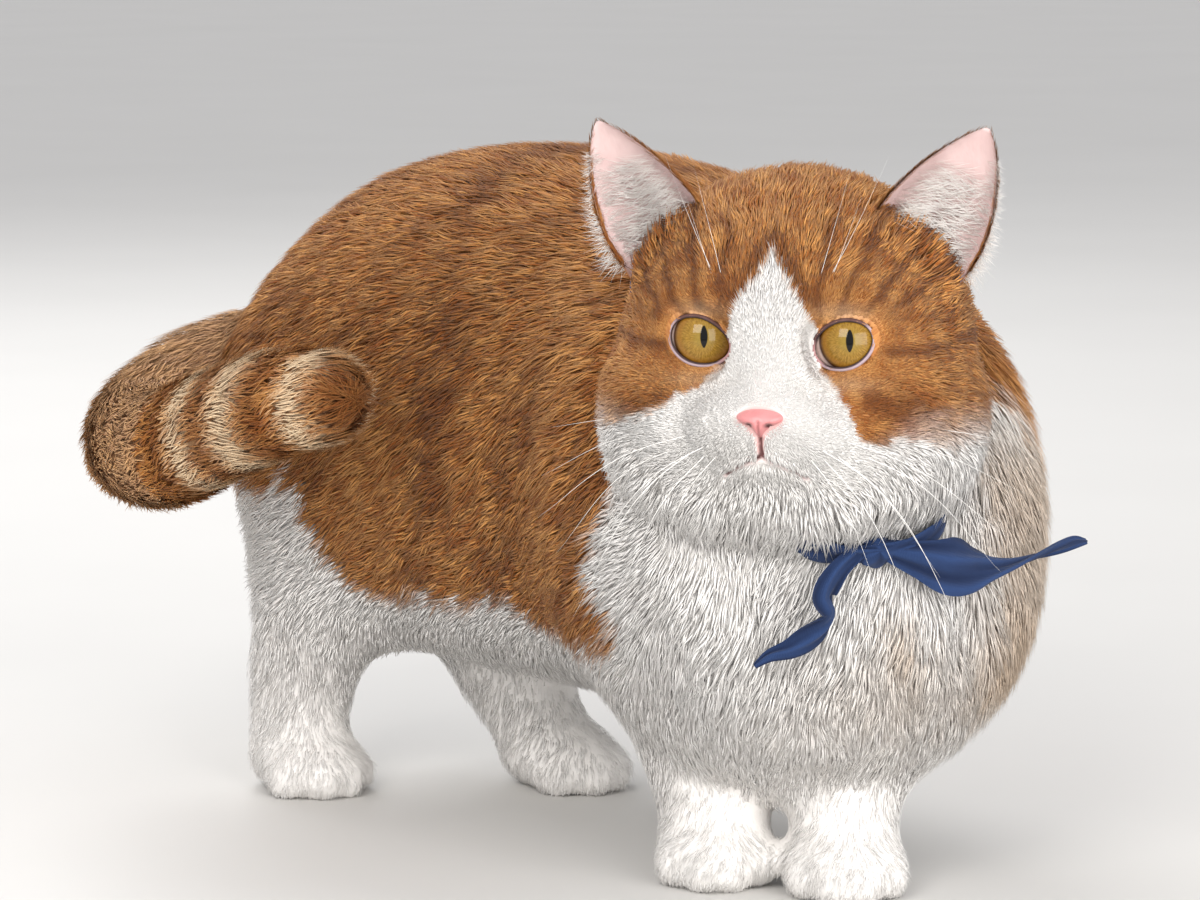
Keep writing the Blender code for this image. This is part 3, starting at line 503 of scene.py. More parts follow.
def markings(points):
    """Ginger, dark and cream shares at points, each from 0 to 1; the cream share also holds painted shade on
    the chest.
    """
    left, ahead, up = in_head(points)
    x, y, z = in_body(points)
    head = head_share(points)
    soft = clouds(points, 9, 1)
    fine = clouds(points, 4, 2)
    broad = clouds(points, 30, 3)
    # The face: white below the blaze's edge, except on the back of the head.
    edge = np.interp(left, BLAZE_LEFT, BLAZE_UP) - 16 * smooth_step(ahead, 4, -16)
    head_ginger = smooth_step(up - edge + 0.9 * soft + 0.6 * fine, -1.6, 1.6)
    side = np.abs(left - BLAZE_MIDDLE)
    dark = np.zeros(len(points))
    for start, lean, width in FOREHEAD_STRIPES:
        line = start + lean * (up - 20) + 0.6 * soft
        dark += 1.05 * stripe(side - line, width) * smooth_step(up, 15, 22) * smooth_step(up, 54, 42)
    run = side - 31
    dark += 1.0 * stripe(up - (8.0 - 0.16 * run + 0.010 * run**2), 1.9) * smooth_step(side, 30, 34)
    cheek = 0.90 * stripe(up - (-4.5 - 0.36 * (side - 26)), 3.4)
    dark += cheek * smooth_step(side, 24, 32) * smooth_step(side, 52, 44)
    dark += 0.55 * stripe(up - (17 - 0.10 * run), 2.4) * smooth_step(side, 31, 37)
    dark += 1.10 * stripe(up - edge - 4.5 + fine, 4.2) * smooth_step(up, 17, 25) * smooth_step(side, 18, 13)
    dark += 0.42 * smooth_step(left, 22, 34) * smooth_step(up, 9, -4) * (0.7 + 0.5 * fine)
    dark += 0.35 * smooth_step(ahead, 10, -20) * (0.5 + 0.5 * broad) + 0.15 * np.clip(soft, -0.5, 1)
    # The body: swirls of darker ginger over the flank and a dark line along the back.
    swirl = np.sin((y + 0.35 * z + 7 * broad) * 2 * math.pi / SWIRL_EVERY + 0.9)
    body_dark = 0.50 * smooth_step(swirl + 0.35 * soft, 0.25, 1.0) + 0.18 * np.clip(soft, 0, 1)
    body_dark += 0.45 * stripe(y - (146 + 0.12 * (z - 140)), 10) * smooth_step(z, 92, 112)
    body_dark += 0.40 * stripe(x - np.interp(y, SPINE_BACK, SPINE_ACROSS), 7) * (z > 150)
    low = np.interp(y, FLANK_BACK, FLANK_LOW)
    body_ginger = smooth_step(z - low + 3.5 * soft + 2.0 * fine, -4, 4)
    chest_edge = np.interp(z, CHEST_HEIGHT, CHEST_EDGE) - 12 * (x > 10)
    near = smooth_step(y - chest_edge + 2.5 * soft + 0.4 * (x + 30) * (x < 10), -5, 5)
    far = smooth_step(y - np.interp(z, FAR_HEIGHT, FAR_EDGE) + 3 * soft, -6, 6)
    body_ginger *= near * (x < 30) + (x >= 30) * far
    nape = smooth_step(z - NAPE_LEVEL + 4 * soft, -4, 8) + body_ginger
    body_ginger = np.where(z > NAPE_LEVEL, nape, body_ginger).clip(0, 1)
    body_ginger *= smooth_step(z, 60, 70)
    # cream and tan on the chest's far side: partly real tan streaks, partly painted shade on the side turned
    # from the lamps
    cream_and_shade = smooth_step(x + 3 * soft, 30, 62) * smooth_step(y, 6, -18)
    cream_and_shade = cream_and_shade * smooth_step(z, 150, 118) * smooth_step(z, 40, 62)
    bib = 0.45 * stripe(x - 12 + 0.25 * (z - 70) + 2 * soft, 5) * (y < 0) * stripe(z - 76, 12)
    cream_and_shade = 0.80 * cream_and_shade + bib
    # painted shade: a beige band low on the chest stands for the warm shade and floor bounce there
    cream_and_shade += 0.30 * stripe(z - 62 + 4 * soft, 16) * smooth_step(y, 14, -8) * smooth_step(x, -30, 12)
    # The tail: rings of dark and cream, told by how far back a place lies along its front run.
    along, _, _ = along_tail(points)
    run = np.where(along > 0.52, y - 150, 110 + (0.52 - along) * 200)
    dark_rings = sum(stripe(run - at, width) for at, width in DARK_RINGS)
    dark_rings += 0.6 * smooth_step(np.sin(run * 2 * math.pi / RING_EVERY + 2.0), 0.2, 0.9) * (run > 75)
    pale_rings = sum(stripe(run - at, width) for at, width in PALE_RINGS)
    tail = tail_share(points)
    tail_cream = np.clip(1.05 * pale_rings + 0.35 * (run > 75), 0, 1)
    ginger = blend(body_ginger, head_ginger, head)
    dark = blend(body_dark, dark, head)
    brow = 0.30 * stripe(up - 18.6, 3.0) * stripe(side - 21, 8.5)
    brow = brow + 0.25 * stripe(up + 1.5, 2.4) * stripe(side - 23, 8)
    ginger = blend(ginger, 1, tail)
    dark = blend(dark, np.clip(0.85 * dark_rings * (1 - tail_cream), 0, 1), tail)
    cream_and_shade = blend(blend(cream_and_shade, brow, head), tail_cream, tail)
    return np.stack([ginger, np.clip(dark, 0, 1), np.clip(cream_and_shade, 0, 1)], 1)


print("ginger, dark and cream on the crown:", markings(head_place(-20.0, 0.0, 50.0)[None])[0].round(2))

# %% [markdown]
# A cat has one skin, which stretches over shoulders, cheeks and toes with no joint in it. The packed
# body parts show its shape, cut into nodes, so their surfaces are gathered here, swollen until the cuts
# close, and wrapped in one even net of small squares. The eyeballs and the neckerchief's band are
# gathered too: they fill the sockets and the groove that were cut for them.
# %% One skin over every body part
SKIN_NODES = ["head", "neck", "torso", "tail_base", "tail_middle", "tail_tip"]
SKIN_NODES += [f"{part}_{place}" for part in ("leg_front", "leg_hind", "paw_front", "paw_hind")
               for place in ("left", "right")]
EYE_BALL = 10.8
SOCKET_SPARE = 1.1
SWELLING = 0.3
NET_SIZE = 0.00235
SMOOTHING_PACE = 0.6
SOLE_LEVEL = 0.0


def node_surface(name):
    """A node's points and triangles in metres, with the points that share a place made one."""
    points, corners = read_mesh(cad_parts[name].data)
    _, first, index = np.unique(np.round(points, 6), axis=0, return_index=True, return_inverse=True)
    corners = index.reshape(-1)[corners]
    whole = (corners != np.roll(corners, 1, axis=1)).all(axis=1)
    return points[first].astype(float), corners[whole]


def ball(centre, radius, rings=24, columns=36):
    """A ball as rings from pole to pole, its centre left, ahead and up of the head, in millimetres."""
    parts = egg(pole_to_pole(rings), once_round(columns), (radius,) * 3)
    return closed_form(head_place(*(at + part for at, part in zip(centre, parts))))


gathered = []
for name in SKIN_NODES + ["kerchief_band"]:
    points, triangles = node_surface(name)
    gathered.append((points + normals_of(points, triangles) * SWELLING * MM, triangles))
for side, _ in SIDES:
    gathered.append(ball((EYE_AT[0] * side, EYE_AT[1], EYE_AT[2]), EYE_BALL + SOCKET_SPARE))
wrap = link_mesh("wrap", *joined(gathered), None)
remesh = wrap.modifiers.new("net", "REMESH")
remesh.mode = "VOXEL"
remesh.voxel_size = NET_SIZE
points, triangles = read_mesh(wrap.evaluated_get(bpy.context.evaluated_depsgraph_get()).to_mesh())
points = points.astype(float)
bpy.data.objects.remove(wrap, do_unlink=True)


def edges_of(triangles):
    """Each edge of the triangles once, its lower point first."""
    ends = np.concatenate([triangles[:, [0, 1]], triangles[:, [1, 2]], triangles[:, [2, 0]]])
    return np.unique(np.sort(ends, axis=1), axis=0)


def largest_shell(points, triangles):
    """Only the biggest connected surface: each point takes the lowest number among its neighbours."""
    edges = edges_of(triangles)
    label = np.arange(len(points))
    while True:
        low = np.minimum(label[edges[:, 0]], label[edges[:, 1]])
        fresh = label.copy()
        np.minimum.at(fresh, edges[:, 0], low)
        np.minimum.at(fresh, edges[:, 1], low)
        fresh = fresh[fresh]
        if (fresh == label).all():
            break
        label = fresh
    kept = label == np.bincount(label).argmax()
    number = np.cumsum(kept) - 1
    return points[kept], number[triangles[kept[triangles[:, 0]]]]


def smoothed(points, edges, weight, rounds):
    """Move each point part of the way to the mean of its neighbours, by its weight, some rounds over."""
    here, there = np.concatenate([edges, edges[:, ::-1]]).T
    share = weight[:, None] * SMOOTHING_PACE
    total = np.bincount(here, minlength=len(points))[:, None]
    for _ in range(rounds):
        mean = np.stack([np.bincount(here, points[there, k], len(points)) for k in range(3)], 1)
        points = points + share * (mean / total - points)
    return points


points, triangles = largest_shell(points, triangles)
print("wrapped skin:", len(points), "points", len(triangles), "triangles")

# %% [markdown]
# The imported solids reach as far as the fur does, so the skin has to lie deeper, by the depth of the coat
# at each place: hardly at all on the nose and toes, and most on the back, chest and tail. Before that,
# the net is evened out, strongly on the broad body and gently on the face and paws.
# %% Smooth the net and sink it by the depth of the coat
def coat_depth(points):
    """Depth of the coat in mm: 0.3 by the nose to 2.8 on the cheeks, 3 on the body, under 1 on the toes."""
    from_nose = far_from(points, (0, 52, -12))
    from_eye = far_from(points, EYE_AT, mirrored=True)
    face = np.interp(from_nose, [8, 20, 34, 60, 80], [0.3, 0.45, 0.9, 2.0, 2.8])
    face = np.minimum(face, np.interp(from_eye, [12, 20, 34], [0.3, 0.9, 2.8]))
    body = np.interp(in_body(points)[2], [0, 14, 30, 60, 90], [0.3, 0.7, 1.4, 2.3, 3.0])
    return blend(blend(body, face, head_share(points)), TAIL_DEPTH, tail_share(points))


def smoothing_share(points):
    """How strongly the net is evened out: 1 on the trunk, less on the face, little on the paws."""
    head = head_share(points)
    face = smooth_step(in_head(points)[1], 22, 34) * head
    body = np.interp(in_body(points)[2], [0, 12, 30, 55], [0.0, 0.10, 0.45, 1.0])
    return blend(body, 0.55, head) * (1 - 0.82 * face)


TAIL_DEPTH = 3.2
EVEN_ROUNDS, SUNK_ROUNDS, FACE_ROUNDS, LID_ROUNDS = 60, 6, 5, 14
edges = edges_of(triangles)
even = smoothed(points, edges, smoothing_share(points), EVEN_ROUNDS)
sink = coat_depth(even)
sunk = even - normals_of(even, triangles) * sink[:, None] * MM
sunk = smoothed(sunk, edges, 0.5 * smoothing_share(even) + 0.05, SUNK_ROUNDS)
sunk[:, 2] = np.maximum(sunk[:, 2], SOLE_LEVEL)
print("skin sunk by", sink.min().round(2), "to", sink.max().round(2), "mm")

# %% [markdown]
# Lids, lips and the bridge of the nose need a finer net than the flanks do. The faces in front of the
# head are divided twice, so one two-millimetre square becomes sixteen, and that part is evened out again.
# %% A finer net on the face
def divided(points, triangles, chosen):
    """The mesh with every edge of the chosen faces cut in two."""
    shape = bmesh.new()
    mesh = bpy.data.meshes.new("divided")
    mesh.from_pydata(points.tolist(), [], triangles.tolist())
    shape.from_mesh(mesh)
    shape.faces.ensure_lookup_table()
    edges = {edge for k in np.flatnonzero(chosen) for edge in shape.faces[k].edges}
    bmesh.ops.subdivide_edges(shape, edges=list(edges), cuts=1, use_grid_fill=True)
    bmesh.ops.triangulate(shape, faces=shape.faces[:])
    shape.to_mesh(mesh)
    shape.free()
    fresh, corners = read_mesh(mesh)
    bpy.data.meshes.remove(mesh)
    return fresh.astype(float), corners


def face_region(points, margin):
    """True for places on the front of the face, in front of the eyeballs' middle."""
    left, ahead, up = in_head(points)
    return (ahead > 24 + margin) & (np.abs(left) < 40 - margin) & (up > -38 + margin) & (up < 30 - margin)


skin_points, skin_triangles = sunk, triangles
for margin in (0, 1.5):
    middle_of = skin_points[skin_triangles].mean(axis=1)
    skin_points, skin_triangles = divided(skin_points, skin_triangles, face_region(middle_of, margin))
    edges = edges_of(skin_triangles)
    skin_points = smoothed(skin_points, edges, 0.7 * face_region(skin_points, margin), FACE_ROUNDS)
print("skin with a finer face:", len(skin_triangles), "triangles")

# %% [markdown]
# A cat's eye is a ball behind an almond opening, drawn to a point at the nose. The skin is pulled in
# behind the ball inside the almond and laid on a slightly larger ball around it. The mouth is a groove
# that drops from the nose and parts into two lines that sink sideways, with slightly raised lips.
# %% Eye openings, mouth and lips
ALMOND = {"inner": 9.6, "outer": 8.6, "up": 6.9, "down": 6.9}
ALMOND_POWER = (1.85, 2.1)
SLANT = math.radians(21)
LID_BALL, LID_REACH = 11.75, 10.6
SOCKET_BALL, SOCKET_REACH = 9.2, 8.9
MOUTH = np.array([
    (0, -16.5), (0, -19.5), (0.3, -21.8), (2.6, -22.9), (5.6, -24.1), (8.8, -26.0), (11.5, -28.2),
])
NO_MOUTH = 99.0
LINE_DEPTH, LINE_WIDTH = 1.15, 0.62
LIP_HEIGHT, LIP_AT, LIP_WIDTH = 0.32, 1.5, 0.8


def in_eye(points, side):
    """Places from an eyeball's middle: outwards along the slanting opening, up, and ahead, in mm."""
    left, ahead, up = in_head(points)
    out, high, front = side * left - EYE_AT[0], up - EYE_AT[2], ahead - EYE_AT[1]
    cosine, sine = math.cos(SLANT), math.sin(SLANT)
    return out * cosine + high * sine, high * cosine - out * sine, front


def from_eye(out, high, front, side):
    """The opposite of in_eye: places in metres."""
    cosine, sine = math.cos(SLANT), math.sin(SLANT)
    flat, tall = out * cosine - high * sine, high * cosine + out * sine
    return head_place(side * (flat + EYE_AT[0]), front + EYE_AT[1], tall + EYE_AT[2])


def almond(out, high):
    """Below 1 inside the opening, 1 on its rim: a rounded diamond with its corners to the sides."""
    wide = np.where(out < 0, ALMOND["inner"], ALMOND["outer"])
    tall = np.where(high > 0, ALMOND["up"], ALMOND["down"])
    p, q = ALMOND_POWER
    return (np.abs(out / wide) ** p + np.abs(high / tall) ** q) ** 0.5


def mouth_gap(points):
    """Distance from the line of the mouth, seen from ahead, in millimetres; NO_MOUTH off the face."""
    left, ahead, up = in_head(points)
    line = curve_through(MOUTH, 60)
    gap = np.full(len(points), NO_MOUTH)
    for place in line:
        gap = np.minimum(gap, np.hypot(np.abs(left) - place[0], up - place[1]))
    return np.where(ahead > 20, gap, NO_MOUTH)


for side, _ in SIDES:
    out, high, front = in_eye(skin_points, side)
    far = np.sqrt(out**2 + high**2 + front**2)
    flat = np.hypot(out, high)
    opening = almond(out, high)
    near_eye = (front > 0) & (far < 19)
    on_ball = np.sqrt(LID_BALL**2 - np.minimum(flat, LID_REACH) ** 2)
    share = smooth_step(opening, 1.75, 1.06) * near_eye
    ahead_now = front + share * (on_ball - front)
    behind = np.sqrt(SOCKET_BALL**2 - np.minimum(flat, SOCKET_REACH) ** 2)
    ahead_now = np.where(near_eye & (opening < 0.99), behind, ahead_now)
    skin_points = from_eye(out, high, ahead_now, side)
    ring = near_eye & (opening > 1.03) & (opening < 2.6)
    skin_points = smoothed(skin_points, edges, 0.8 * ring, LID_ROUNDS)
gap = mouth_gap(skin_points)
depth = LINE_DEPTH * stripe(gap, LINE_WIDTH) - LIP_HEIGHT * stripe(gap - LIP_AT, LIP_WIDTH)
skin_points = skin_points - normals_of(skin_points, skin_triangles) * depth[:, None] * MM
print("mouth and lips shaped on", int((gap < LIP_AT).sum()), "points")

# %% [markdown]
# Under thin fur the skin itself shows: pink round the nose and lips, darkened by painted shade in the groove
# of the mouth, and otherwise tinted like the coat above it. Very short flat fur is not worth a tuft for each
# hair, so the skin carries a fine bump of short strokes.
# %% The skin and its finish
DEEP_GINGER, BRIGHT_GINGER = (0.34, 0.098, 0.016), (0.80, 0.400, 0.125)
STRIPE_BROWN, BUFF, TAN_AND_WARM_SHADE = (0.165, 0.046, 0.010), (0.86, 0.68, 0.46), (0.66, 0.48, 0.32)
SHADED_WHITE, CLEAR_WHITE = (0.87, 0.835, 0.80), (0.955, 0.945, 0.93)
PINK_SKIN, MOUTH_SHADE = (0.80, 0.44, 0.42), (0.13, 0.036, 0.036)


def fur_colour(finish, marks, tip, place, streak):
    """The colour of the coat from its three markings, how near the tip a place is, and fine streaks."""
    ginger, dark, cream_and_shade = finish.split(marks)
    bright = finish.step(streak * 0.72 + finish.noise(place, 95.0, 3.0) * 0.42 + tip * 0.20, 0.28, 1.14)
    warm = finish.mix(bright, DEEP_GINGER, BRIGHT_GINGER)
    warm = finish.layers(warm, (dark * 0.85, STRIPE_BROWN), (cream_and_shade * 0.9, BUFF))
    pale = finish.mix(streak * 0.40 + tip * 0.45, SHADED_WHITE, CLEAR_WHITE)
    # the cream share tints white fur tan: a real tan streak, and painted shade low on the chest and on its
    # far side
    return finish.mix(ginger, finish.mix(cream_and_shade * 0.80, pale, TAN_AND_WARM_SHADE), warm)


skin_finish = Finish("short fur over skin", Roughness=0.75)
skin_place = skin_finish.place()
strokes = skin_finish.noise(skin_finish.attribute("comb", 1), 1.3, 3.0)
skin_coat = fur_colour(skin_finish, skin_finish.attribute("marks", 1), 0.35, skin_place, strokes)
skin_finish.feed("Base Color", skin_finish.layers(
    skin_coat,
    (skin_finish.attribute("bare") * 0.80, PINK_SKIN),
    # painted shade: the groove of the mouth is darkened along its line
    (skin_finish.attribute("line"), MOUTH_SHADE),
))
skin_finish.bump(strokes, 0.0005, 0.45)


NOSE_AT = (0.0, 50.0, -12.0)


def comb_place(points):
    """A place squeezed along the lie of the fur, so that noise on it turns into strokes along the lie.

    On the head it is the angle round the nose and a sixth of the distance from it, on the body an eighth
    of the way back, and on the legs and chest an eighth of the height.
    """
    left, _, up = in_head(points)
    x, y, z = in_body(points)
    angle = np.arctan2(left, up + 14)
    head = np.stack([42 * np.sin(angle), 42 * np.cos(angle), far_from(points, NOSE_AT) * 0.16], 1)
    flank = np.stack([x, z + 0.4 * y, 0.12 * y], 1)
    leg = np.stack([x, y, 0.12 * z], 1)
    front = np.maximum(smooth_step(y + 0.25 * (z - 100), 38, 0), smooth_step(z, 78, 52))[:, None]
    return blend(blend(flank, leg, front), head, head_share(points)[:, None])


def bare_share(points):
    """1 where pink skin shows: around the nose and a little along the lips."""
    left, ahead, up = in_head(points)
    front = ahead > 30
    nose = smooth_step(np.sqrt((left / 6.9) ** 2 + ((up + 12.0) / 4.6) ** 2), 1.25, 0.9) * front
    bridge = 0.28 * stripe(left, 5.5) * stripe(up + 3, 7) * front
    lips = 0.50 * smooth_step(mouth_gap(points), 2.4, 0.6)
    lips += 0.60 * stripe(left, 1.9) * smooth_step(up, -14, -17) * smooth_step(up, -23.5, -21) * front
    return np.clip(nose + bridge + lips, 0, 1)


skin = link_mesh("skin", skin_points, skin_triangles, skin_finish,
                 marks=markings(skin_points), comb=comb_place(skin_points), bare=bare_share(skin_points),
                 # the line share holds the painted shade of the mouth's groove
                 line=0.95 * smooth_step(mouth_gap(skin_points), 0.95, 0.25))
dress(skin, "coat_ginger", *SKIN_NODES)
print("skin:", len(skin_triangles), "triangles, from", skin_points.min(0).round(3), "to",
      skin_points.max(0).round(3))

# %% [markdown]
# The rim of each lid is a soft cord of bare skin, lilac to pink outside and dark where it touches the
# eyeball. It follows the almond round the ball, so it is a small tube whose path is that rim.
# %% Lid rims
RIM_LIFT = 0.45
RIM_INSIDE = (9.1, 7.3)


def lid_rim(side, radius=0.72, across=14, along=120):
    """A tube round the almond: its path lies on a ball just larger than the eye, thinner at the corners."""
    turn = once_round(along)[0]
    cosine, sine = np.cos(turn), np.sin(turn)
    wide = np.where(cosine < 0, ALMOND["inner"], ALMOND["outer"])
    tall = np.where(sine > 0, ALMOND["up"], ALMOND["down"])
    out = wide * np.sign(cosine) * np.abs(cosine) ** (2 / ALMOND_POWER[0])
    high = tall * np.sign(sine) * np.abs(sine) ** (2 / ALMOND_POWER[1])
    front = np.sqrt(np.maximum((EYE_BALL + RIM_LIFT) ** 2 - out**2 - high**2, 4))
    path = np.stack([out, high, front], 1)
    ahead = unit(np.roll(path, -1, 0) - np.roll(path, 1, 0))
    lift = unit(path)
    aside = np.cross(ahead, lift)
    round_it = once_round(across)[..., None]
    under = smooth_step(high - 0.25 * out, 2.2, -2.0)
    size = (radius * (0.92 + 0.08 * under) * (1 - 0.30 * np.abs(cosine) ** 6))[:, None, None]
    table = path[:, None] + size * (0.95 * np.cos(round_it) * aside[:, None]
                                    + 0.85 * np.sin(round_it) * lift[:, None])
    points = from_eye(table[..., 0], table[..., 1], table[..., 2], side)
    points, triangles = closed_form(points, round_rows=True)
    inside = np.hypot(table[..., 0] / RIM_INSIDE[0], table[..., 1] / RIM_INSIDE[1])
    inside = inside / np.hypot(out / RIM_INSIDE[0], high / RIM_INSIDE[1])[:, None]
    corner = smooth_step(-out, 7.2, 9.4)[:, None] + 0 * inside
    low = smooth_step(high - 0.25 * out, 2.2, -0.6)[:, None] + 0 * inside
    return points, triangles, {"inside": inside.ravel(), "corner": corner.ravel(), "low": low.ravel()}


rim_finish = Finish("lid rim", Roughness=0.50, Specular_IOR_Level=0.25)
rim_colour = rim_finish.mix(rim_finish.attribute("low"), (0.070, 0.026, 0.018), (0.46, 0.36, 0.40))
rim_outer = rim_finish.step(rim_finish.attribute("inside"), 0.955, 1.01)
rim_colour = rim_finish.mix(rim_outer, (0.012, 0.007, 0.007), rim_colour)
rim_colour = rim_finish.mix(rim_finish.attribute("corner") * 0.8, rim_colour, (0.66, 0.36, 0.36))
rim_cloud = rim_finish.noise(rim_finish.place(), 500.0)
rim_finish.feed("Base Color", rim_finish.mix(rim_cloud * 0.25, rim_colour, (0.36, 0.22, 0.23)))
rim_finish.bump(rim_cloud, 0.0002, 0.5)
for side, name in SIDES:
    points, triangles, shares = lid_rim(side)
    dress(link_mesh(f"lid_rim_{name}", points, triangles, rim_finish, **shares), "nose")

# %% [markdown]
# The eyes look at the camera. Each is a ball whose rings run round the line of sight, so the iris and
# the narrow pupil can be painted from two numbers stored on the surface: how far a place lies to the
# side of that line and how far above it.
# %% Eyeballs with iris and slit pupil
EYE_SPARE = 0.25
IRIS_SWELL, IRIS_ANGLE = 0.30, 0.75


def eyeball(side):
    """A ball with a low swelling in front: radius 10.55 mm, plus 0.3 mm within the iris."""
    centre = head_place(side * EYE_AT[0], EYE_AT[1], EYE_AT[2])
    gaze = unit(camera_place - centre)
    aside = unit(np.cross(UP, gaze))
    above = np.cross(gaze, aside)
    fall = pole_to_pole(64)
    radius = EYE_BALL - EYE_SPARE + IRIS_SWELL * np.exp(-((fall / IRIS_ANGLE) ** 4))
    parts = egg(fall, once_round(64), (radius,) * 3)
    points, triangles = closed_form(centre + spread(parts, (aside, above, gaze)))
    flat = np.vstack([np.stack(parts, -1).reshape(-1, 3), [[0, 0, EYE_BALL], [0, 0, -EYE_BALL]]])
    return points, triangles, flat


eye_finish = Finish("amber eye", Roughness=0.30, Specular_IOR_Level=0.0, Coat_Weight=0.65,
                    Coat_Roughness=0.03)
aside, above, _ = eye_finish.split(eye_finish.attribute("gaze", 1))
out = (aside * aside + above * above) ** 0.5
angle = eye_finish.maths("ARCTAN2", above, aside)
fibre_place = eye_finish.node("ShaderNodeCombineXYZ", None, {"X": angle * 5.5, "Y": out * 0.35})
fibres = eye_finish.noise(fibre_place, 2.6, 5.0)
slit_wide = 1.02 * eye_finish.maths("MAXIMUM", 1 - above * above / 10.6, 0.0) ** 0.75
slit = eye_finish.step(eye_finish.maths("ABSOLUTE", aside) - slit_wide, 0.20, -0.08)
pupil = slit * eye_finish.step(eye_finish.maths("ABSOLUTE", above), 3.35, 3.10)
eye_cloud = eye_finish.noise(eye_finish.place(), 600.0)
eye_white = eye_finish.mix(eye_cloud, (0.50, 0.36, 0.32), (0.62, 0.50, 0.45))
eye_finish.feed("Base Color", eye_finish.layers(
    eye_finish.mix(eye_finish.step(fibres, 0.30, 0.72), (0.200, 0.105, 0.014), (0.36, 0.205, 0.034)),
    (eye_finish.step(out, 5.0, 1.5) * 0.60, (0.25, 0.180, 0.036)),  # greener round the pupil
    (eye_finish.step(out, 5.6, 7.4) * 0.65, (0.28, 0.115, 0.014)),  # browner at the edge
    (eye_finish.step(out, 7.4, 8.5), (0.055, 0.020, 0.008)),
    (pupil, (0.002, 0.002, 0.002)),
    (eye_finish.step(out, 8.5, 9.1), eye_white),
))
for side, name in SIDES:
    points, triangles, flat = eyeball(side)
    dress(link_mesh(f"eyeball_{name}", points, triangles, eye_finish, gaze=flat), "eye", f"eye_{name}")
print("eyes and rims made")

# %% [markdown]
# The nose leather is a small pink cushion, broad above and narrow below, with a comma-shaped nostril on
# each side and a groove down its middle. One egg-shaped grid is enough: its width, the two pits and the
# groove are plain functions of the place on it. Painted shade darkens the pits and the groove.
# %% Nose leather
NOSE_LEATHER_AT = (52.0, -12.1)
NOSE_HALF = (6.9, 4.7, 4.6)


def nose_share(up):
    """How wide the nose is at a height above its middle, as a share of its widest: narrow at the bottom."""
    return (0.64 + 0.40 * np.tanh((up + 0.6) / 1.6)) * (1 + 0.05 * up)


def nose_leather():
    """An egg whose rings run round the line ahead; narrower below, with two pits and a groove, and the
    painted shade that darkens them.
    """
    left, up, ahead = egg(pole_to_pole(58), once_round(96), NOSE_HALF)
    left = left * nose_share(up)
    up = np.where(up > 0, 0.86 * up, up)
    front = smooth_step(ahead, -0.5, 1.2)
    aside, above = np.abs(left) - 2.9, up + 0.5
    pit = np.exp(-((aside - 0.60 * above) ** 2) - ((above + 0.30 * aside) / 0.75) ** 2)
    groove = stripe(left, 0.45) * smooth_step(up, 1.8, 0.0)
    ahead = ahead - front * (2.1 * pit + 0.6 * groove) - 0.05 * (up - 1) ** 2 * (up < 1)
    points, triangles = closed_form(head_place(left, NOSE_LEATHER_AT[0] + ahead, NOSE_LEATHER_AT[1] + up))
    # painted shade: the nostril pits, and more lightly the groove, are darkened, one share for each point
    pit_shade = np.concatenate([np.clip(1.5 * pit * front + 0.35 * groove * front, 0, 1).ravel(), [0, 0]])
    return points, triangles, pit_shade


nose_finish = Finish("nose leather", Roughness=0.38, Coat_Weight=0.25, Coat_Roughness=0.35)
nose_place = nose_finish.place()
pebbles = nose_finish.node("ShaderNodeTexVoronoi", None, {"Vector": nose_place, "Scale": 1900.0})
nose_cloud = nose_finish.noise(nose_place, 260.0, 3.0)
nose_colour = nose_finish.mix(nose_cloud, (0.58, 0.195, 0.200), (0.74, 0.300, 0.295))
# painted shade in the nostril pits and the groove, nearly black
nose_colour = nose_finish.mix(nose_finish.attribute("pit"), nose_colour, (0.055, 0.012, 0.012))
nose_finish.feed("Base Color", nose_colour)
nose_finish.bump(pebbles, 0.00012, 0.6)
points, triangles, pit_shade = nose_leather()
dress(link_mesh("nose_pad", points, triangles, nose_finish, pit=pit_shade), "nose", "nose")

# %% [markdown]
# An ear is one curved sheet of gristle, cupped to the front. Its outline narrows to a tip, so it is rows
# of slender crescents: each row goes round the back of the sheet and returns along its hollow side.
# %% Ears
EAR_CORNERS = ((23.5, 10.0, 42.5), (52.5, 4.0, 30.5), (58.0, 12.0, 70.2))  # inner, outer and tip
EAR_TURN = math.radians(18)


def ear_axes(side):
    """Middle of the ear's root, the way up to its tip, the way across it and the way it faces."""
    inner, outer, tip = (head_place(side * left, ahead, up) for left, ahead, up in EAR_CORNERS)
    base, wide = (inner + outer) / 2, outer - inner
    half = np.linalg.norm(wide) / 2 / MM
    wide = unit(wide)
    facing = AHEAD * math.cos(EAR_TURN) + LEFT * side * math.sin(EAR_TURN)
    facing = unit(facing - wide * (facing @ wide))
    return base, tip - base, wide, facing, half


def ear_point(side, share, turn, thick=0.8):
    """A place on the ear: share 0 at the root to 1 at the tip; turn 0 to pi goes over the hollow side."""
    base, rise, wide, facing, half = ear_axes(side)
    taper = np.clip(1 - np.clip(share, 0, 1) ** 1.55, 0.0, 1) ** 0.80
    cup = -9.4 * taper * np.abs(np.sin(turn)) ** 0.9 + thick * np.sin(turn) * (0.35 + 0.65 * taper)
    bulge = 1.3 * np.sin(np.clip(share, 0, 1) * math.pi) * np.cos(turn)
    across_it = (half * taper + 0.25) * np.cos(turn) + bulge * 0.6
    flat = base + share[..., None] * rise + across_it[..., None] * MM * wide
    return flat + (cup + 4.0 * taper)[..., None] * MM * facing


def ear_table(side, rows=44, columns=64):
    """Rows from below the root to the tip, each once round the sheet."""
    share, turn = np.broadcast_arrays(np.linspace(-0.30, 0.995, rows)[:, None], once_round(columns))
    return ear_point(side, share, turn), share, turn


